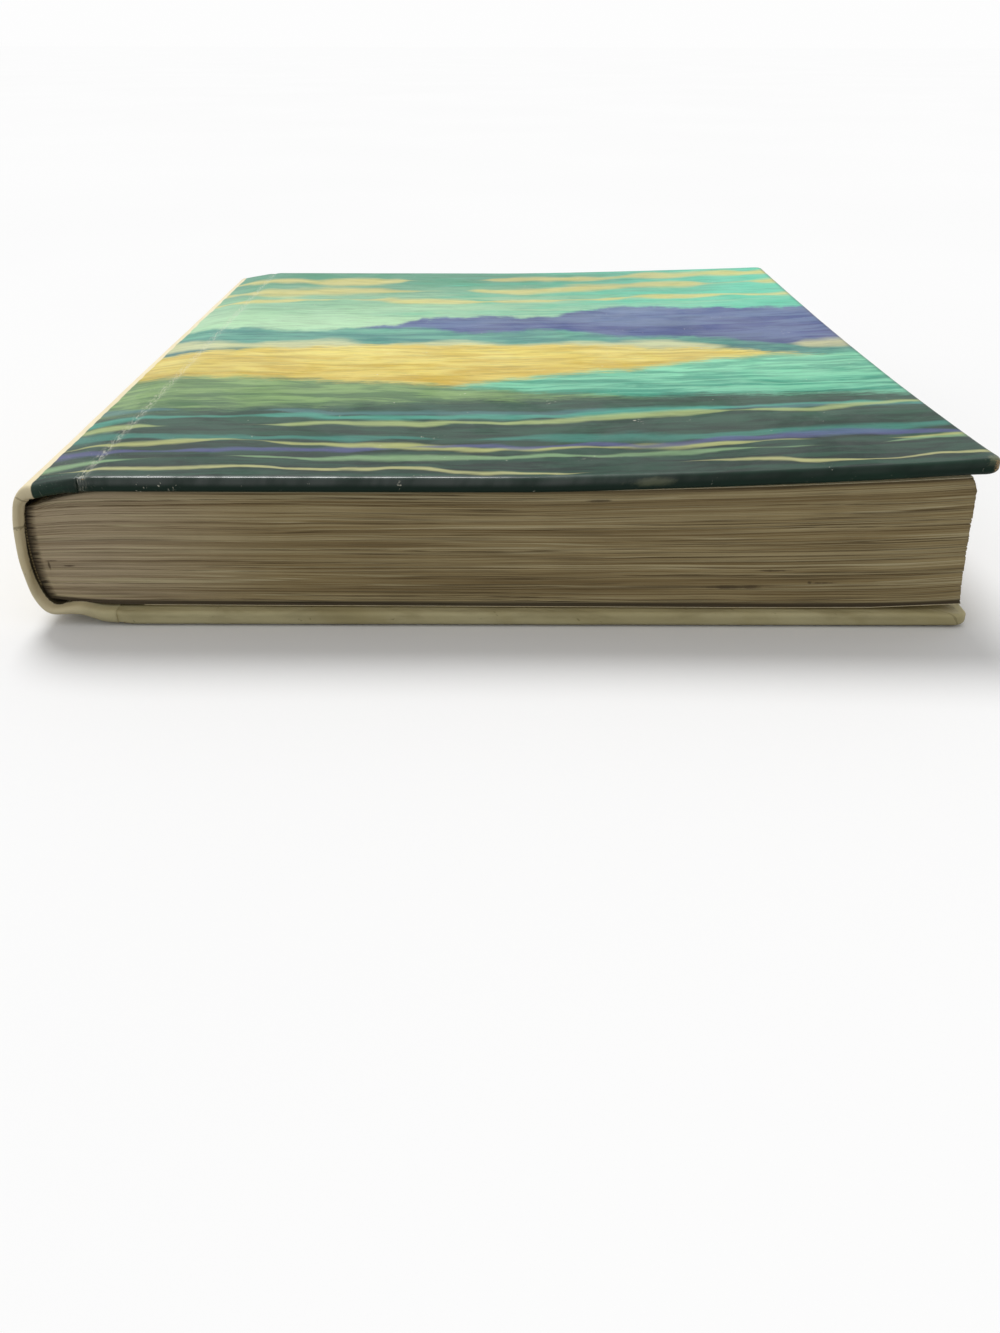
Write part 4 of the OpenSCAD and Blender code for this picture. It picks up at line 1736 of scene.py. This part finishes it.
        # painted shade along the back, with a ragged edge, beside the spine's sheet
        ragged = 0.1 + 0.5 * np.abs(Ripple(self.seed + 7, 3.0, 0.02).at(run, t))
        painted_shade = np.maximum(smooth(0.05, 0.022, t), smooth(0.9, 0.3, from_back / ragged))
        return np.maximum(painted_shade, 0.5 * smooth(0.97, 0.995, t))

    def page(self, rim: Array, top: bool, first: int) -> tuple[Array, Array, Array]:
        """Close the block with its lowest or its highest page.

        Args:
            rim: Numbers of the rim's points at that page.
            top: Whether it is the highest page.
            first: Number of the page's first own point.

        Returns:
            Its own points, their places in the plan, and its faces.
        """
        s = SIZES
        across, side = self.places()
        cols, rows = len(across), len(side) + 1
        u, v = np.meshgrid(across[1:-1], side[:-1])
        t = np.full_like(u, float(top))
        x = self.back_x(t) + (self.fore_x(t) - self.back_x(t)) * u
        y = s.page_tail(u) + (s.cover_h - s.square_h - s.page_tail(u)) * v
        z = self.heights(x, y)[int(top)]
        head = rim[cols + rows - 2:2 * cols + rows - 2][::-1]
        numbers = np.empty((rows, cols), dtype=int)
        numbers[0], numbers[-1], numbers[:, -1] = rim[:cols], head, rim[cols - 1:cols - 1 + rows]
        numbers[:, 0] = np.concatenate([[rim[0]], rim[2 * cols + rows - 2:][::-1], [head[0]]])
        numbers[1:-1, 1:-1] = first + np.arange(u.size).reshape(u.shape)
        faces = grid_faces(numbers)[:, ::-1] if top else grid_faces(numbers)
        return np.stack([x, y, z], -1).reshape(-1, 3), np.stack([x, y], -1).reshape(-1, 2), faces

    def skin(self) -> Skin:
        """Carry the rim up through the levels and close it with the lowest and the highest page.

        Returns:
            The surface, with the shares of the gaps, the crests and the painted shade.
        """
        s = SIZES
        t = np.linspace(0, 1, self.levels)[:, None]
        u, v, run, on_back = self.rim(t)
        level = self.layer(t, u, v)
        ends = smooth(0.0, 0.02, t) * smooth(1.0, 0.98, t)
        deep, share, crest = [ends * part for part in self.gaps(level, run)]
        deep = deep * (1 - on_back)
        wobble = self.fore_wobble * Ripple(self.seed + 5, 60.0, 0.03).at(run, t)
        x0, x1 = self.back_x(t), self.fore_x(t) + (wobble - deep) * (u > 0.99)
        x = x0 + (x1 - x0) * u
        low = s.page_tail(u) + deep
        y = low + (s.cover_h - s.square_h - deep - low) * v
        foot, head = self.heights(x, y)
        ripple = self.sway * Ripple(self.seed + 6, 46.0, 0.16).at(run, t)
        z = foot + (head - foot) * t + ripple * np.sin(np.pi * t) * smooth(0.0, 30.0, x)
        index = np.arange(x.size).reshape(x.shape)
        faces = [grid_faces(np.concatenate([index, index[:, :1]], axis=1))[:, ::-1]]
        points = [np.stack([x, y, z], -1).reshape(-1, 3)]
        uv = [np.stack(np.broadcast_arrays(run, level * s.pages_t), -1).reshape(-1, 2)]
        for rim, top in ((index[0], False), (index[-1], True)):
            new = self.page(rim, top, sum(len(part) for part in points))
            for parts, part in zip((points, uv, faces), new):
                parts.append(part)
        inner = np.zeros(sum(len(part) for part in points[1:]))
        values = {"gap": share, "crest": crest, "painted_shade": self.painted_shade_mask(t, x - x0, run)}
        return Skin(np.concatenate(points), np.concatenate(faces), np.concatenate(uv),
                    {key: np.append(numbers.ravel(), inner) for key, numbers in values.items()})

    def make(self, material: bpy.types.Material) -> bpy.types.Object:
        """Build the pages, dress them and let them stand for their solid.

        Args:
            material: Their finish.

        Returns:
            The piece.
        """
        piece = self.skin().build("pages")
        piece.data.materials.append(material)
        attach(piece, Body.BLOCK.value)
        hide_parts("text_block")
        return piece


@dataclass
class FreeLeaf:
    """The free endpaper on the highest page, from the shoulder to the fore-edge. Sizes are in millimetres."""

    pages: PageBlock
    film: float = 0.05
    paper: float = 0.15
    across: int = 60
    along: int = 48

    def skin(self) -> Skin:
        """Lay the leaf on the highest page: that page's height, plus a film of air and the paper.

        Returns:
            The leaf's upper face.
        """
        s = SIZES
        top = np.ones(1)
        back, fore = self.pages.back_x(top), self.pages.fore_x(top)
        x = np.linspace(s.shoulder_w, fore[0], self.across)[:, None]
        low = s.page_tail((x - back) / (fore - back))
        y = low + (s.cover_h - s.square_h - low) * np.linspace(0, 1, self.along)[None, :]
        x = np.broadcast_to(x, y.shape)
        z = self.pages.heights(x, y)[1] + self.film + self.paper
        faces = grid_faces(np.arange(y.size).reshape(y.shape))
        return Skin(np.stack([x, y, z], -1).reshape(-1, 3), faces, np.stack([x, y], -1).reshape(-1, 2))

    def make(self, material: bpy.types.Material) -> bpy.types.Object:
        """Build the leaf, dress it and let it stand for its solid.

        Args:
            material: Its finish.

        Returns:
            The piece.
        """
        piece = self.skin().build("front_free_leaf")
        piece.data.materials.append(material)
        thicken(piece, self.paper)
        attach(piece, Body.BLOCK.value)
        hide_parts("front_flyleaf")
        return piece


@dataclass
class JointPaper:
    """The endpaper's fold at a hinge: a flat run on the pages and two walls up into the crevice.

    Sizes are in millimetres.
    """

    name: str
    body: Body
    hinge_x: float
    leaf_z: float
    foot_z: float
    peak_z: float
    run: float = 6.6
    walls: tuple[float, float] = (0.05, 0.14)
    margin: float = 5.2
    bend: float = 0.5
    paper: float = 0.03
    tip: float = 0.1
    rows: int = 40
    flat_steps: int = 5
    bend_steps: int = 6
    wall_steps: int = 6

    def carried(self, line: Array) -> Skin:
        """Carry a line of the section along the hinge.

        Args:
            line: Points across and up.

        Returns:
            The surface of the paper.
        """
        y = np.linspace(self.margin, SIZES.cover_h - self.margin, self.rows)
        x = np.broadcast_to(self.hinge_x + line[:, 0], (len(y), len(line)))
        points = np.stack([x, np.broadcast_to(y[:, None], x.shape), np.broadcast_to(line[:, 1], x.shape)], -1)
        along = np.concatenate([[0.0], np.cumsum(np.hypot(*np.diff(line, axis=0).T))])
        uv = np.stack(np.broadcast_arrays(along[None, :], y[:, None]), -1)
        faces = grid_faces(np.arange(x.size).reshape(x.shape))
        up = self.peak_z > self.leaf_z
        return Skin(points.reshape(-1, 3), faces if up else faces[:, ::-1], uv.reshape(-1, 2))

    def flat_run(self) -> Array:
        """Section of the flat run: along the leaf, then a quarter bend into the crevice.

        Returns:
            Points across and up.
        """
        up = math.copysign(1.0, self.peak_z - self.leaf_z)
        turn = np.radians(np.linspace(0, 90, self.bend_steps))
        flat = np.linspace(self.run, self.walls[0] + self.bend, self.flat_steps)[:-1]
        bend_x = self.walls[0] + self.bend * (1 - np.sin(turn))
        bend_z = self.leaf_z + up * self.bend * (1 - np.cos(turn))
        return np.stack([np.append(flat, bend_x), np.append(np.full(len(flat), self.leaf_z), bend_z)], -1)

    def fold(self) -> Array:
        """Section of the fold: a wall up, a sharp turn, and a wall down beside it.

        Returns:
            Points across and up.
        """
        level = np.linspace(self.foot_z, self.peak_z, self.wall_steps)
        tip = self.peak_z + self.tip * (self.peak_z - level[-2])
        up, down = [np.full(self.wall_steps, wall) for wall in self.walls]
        xs = np.concatenate([up, [sum(self.walls) / 2], down])
        return np.stack([xs, np.concatenate([level, [tip], level[::-1]])], -1)

    def make(self, material: bpy.types.Material) -> list[bpy.types.Object]:
        """Build the run and the fold and dress them. The run rides on the pages.

        Args:
            material: Their finish.

        Returns:
            The pieces.
        """
        made = []
        for part, line in (("run", self.flat_run()), ("fold", self.fold())):
            piece = self.carried(line).build(f"{self.name}_{part}")
            piece.data.materials.append(material)
            thicken(piece, self.paper)
            made.append(piece)
        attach(made[0], Body.BLOCK.value)
        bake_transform(made[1])
        return made


def hinge_papers() -> tuple[JointPaper, JointPaper]:
    """Place the papers' folds between each free leaf and its pasted half.

    Returns:
        The front fold and the back fold.
    """
    front = JointPaper("front_joint_paper", Body.FRONT, hinge_x=0.0, leaf_z=30.79, foot_z=31.1, peak_z=33.6)
    back = JointPaper("back_joint_paper", Body.BACK, hinge_x=SIZES.slip, leaf_z=3.61, foot_z=3.3, peak_z=0.8)
    return front, back


@dataclass(frozen=True)
class Studio:
    """Plain pale floor, soft light from above and behind, and the camera."""

    floor_z: float = -0.0003
    floor_half: float = 14.0
    pale: float = 0.985
    floor_bounce: float = 0.4
    fill: float = 0.53
    key: float = 1.74
    key_angle: float = 26.0
    key_turn: tuple[float, float] = (-30.0, -14.0)
    lens: float = 30.086
    sensor: float = 36.0
    eye: tuple[float, float, float] = (0.00005, -0.33512, 0.11439)
    gaze: tuple[float, float, float] = (60.47, -0.119, 0.03)

    def seen(self, g: Graph) -> Socket:
        """Share of rays that look straight at a surface, in a mirror or through glass.

        Args:
            g: Tree of the material.

        Returns:
            The share, 0 or 1.
        """
        path = g.node("ShaderNodeLightPath").outputs
        mirrored = g.math("MAXIMUM", path["Is Glossy Ray"], path["Is Transmission Ray"])
        return g.math("MAXIMUM", path["Is Camera Ray"], mirrored)

    def floor(self) -> None:
        """Lay the floor. It is pale to the eye and sends less light back up."""
        mesh = bpy.data.meshes.new("floor")
        r, z = self.floor_half, self.floor_z
        mesh.from_pydata([(-r, -r, z), (r, -r, z), (r, r, z), (-r, r, z)], [], [(0, 1, 2, 3)])
        plane = bpy.data.objects.new("floor", mesh)
        bpy.context.scene.collection.objects.link(plane)
        material = bpy.data.materials.new("pale floor")
        material.use_nodes = True
        material.node_tree.nodes.clear()
        g = Graph(material.node_tree)
        grain = g.step(g.noise(g.object_place(), 3.0, 2.0), 0.3, 0.7, self.pale - 0.01, self.pale)
        shown, hidden = g.node("ShaderNodeBsdfDiffuse"), g.node("ShaderNodeBsdfDiffuse")
        g.feed(shown.inputs[0], g.join(grain, grain, grain))
        hidden.inputs[0].default_value = (self.floor_bounce,) * 3 + (1.0,)
        mixed = g.node("ShaderNodeMixShader")
        g.feed(mixed.inputs[0], self.seen(g))
        g.feed(mixed.inputs[1], hidden.outputs[0])
        g.feed(mixed.inputs[2], shown.outputs[0])
        g.feed(g.node("ShaderNodeOutputMaterial").inputs[0], mixed.outputs[0])
        mesh.materials.append(material)

    def light(self) -> None:
        """Light the book with one broad soft lamp and an even fill."""
        lamp = bpy.data.lights.new("key", "SUN")
        lamp.energy = self.key
        lamp.angle = math.radians(self.key_angle)
        key = bpy.data.objects.new("key", lamp)
        key.rotation_euler = Euler((math.radians(self.key_turn[0]), math.radians(self.key_turn[1]), 0.0))
        bpy.context.scene.collection.objects.link(key)
        world = bpy.data.worlds.new("studio")
        world.use_nodes = True
        world.node_tree.nodes.clear()
        g = Graph(world.node_tree)
        shown, fill = g.node("ShaderNodeBackground"), g.node("ShaderNodeBackground")
        shown.inputs[0].default_value = (self.pale,) * 3 + (1.0,)
        fill.inputs[0].default_value = (1.0, 1.0, 1.0, 1.0)
        fill.inputs[1].default_value = self.fill
        mixed = g.node("ShaderNodeMixShader")
        g.feed(mixed.inputs[0], self.seen(g))
        g.feed(mixed.inputs[1], fill.outputs[0])
        g.feed(mixed.inputs[2], shown.outputs[0])
        g.feed(g.node("ShaderNodeOutputWorld").inputs[0], mixed.outputs[0])
        bpy.context.scene.world = world

    def camera(self) -> None:
        """Set the camera at the photograph's angle, its lens on the frame's long side."""
        data = bpy.data.cameras.new("camera")
        data.lens = self.lens
        data.sensor_width = self.sensor
        data.clip_start = 0.01
        view = bpy.data.objects.new("camera", data)
        view.location = self.eye
        view.rotation_euler = Euler([math.radians(turn) for turn in self.gaze])
        bpy.context.scene.collection.objects.link(view)
        bpy.context.scene.camera = view

    def set_up(self) -> None:
        """Make the floor, the light and the camera, and the plain view."""
        bpy.context.scene.view_settings.view_transform = "Standard"
        self.floor()
        self.light()
        self.camera()


def dress_nodes(finishes: dict[str, bpy.types.Material]) -> None:
    """Give the solids that show their finishes.

    Args:
        finishes: Finish of each solid, by its name.
    """
    for name, material in finishes.items():
        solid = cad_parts[name]
        solid.data.materials.clear()
        solid.data.materials.append(material)
        LOG.info("solid %s has %s", name, material.name)


def main() -> None:
    """Build the book in order: studio, finishes, solids and pieces."""
    logging.basicConfig(level=logging.INFO, format="%(message)s")
    Studio().set_up()
    effects = Effects()
    sheet, paper, board = SheetFinish(), PaperFinish(), BoardFinish()
    leaf = paper.leaf(effects)
    dress_nodes({
        "back_flyleaf": leaf,
        "front_pastedown": leaf,
        "back_pastedown": leaf,
        "front_board": board.pressed(effects, "cover board"),
        "back_board": board.pressed(effects, "back board"),
        "spine_inlay": board.pressed(effects, "spine card"),
        "spine_lining": board.woven(),
    })
    front = CoverWrap("front_sheet", "front_covering", "printed_covering", Body.FRONT, Face.UP, hinge_x=0.0)
    back = CoverWrap("back_sheet", "back_covering", "plain_covering", Body.BACK, Face.DOWN,
                     hinge_x=SIZES.slip, seed=40)
    pages = PageBlock()
    pieces = [
        pages.make(paper.edges(effects)),
        FreeLeaf(pages).make(leaf),
        front.make(sheet.printed(effects)),
        SpineCase().make(sheet.joined(effects)),
        back.make(sheet.cream_sheet(effects)),
    ]
    for fold in hinge_papers():
        pieces += fold.make(leaf)
    for piece in pieces:
        LOG.info("piece %s: %d faces", piece.name, len(piece.data.polygons))


if __name__ == "__main__":
    main()
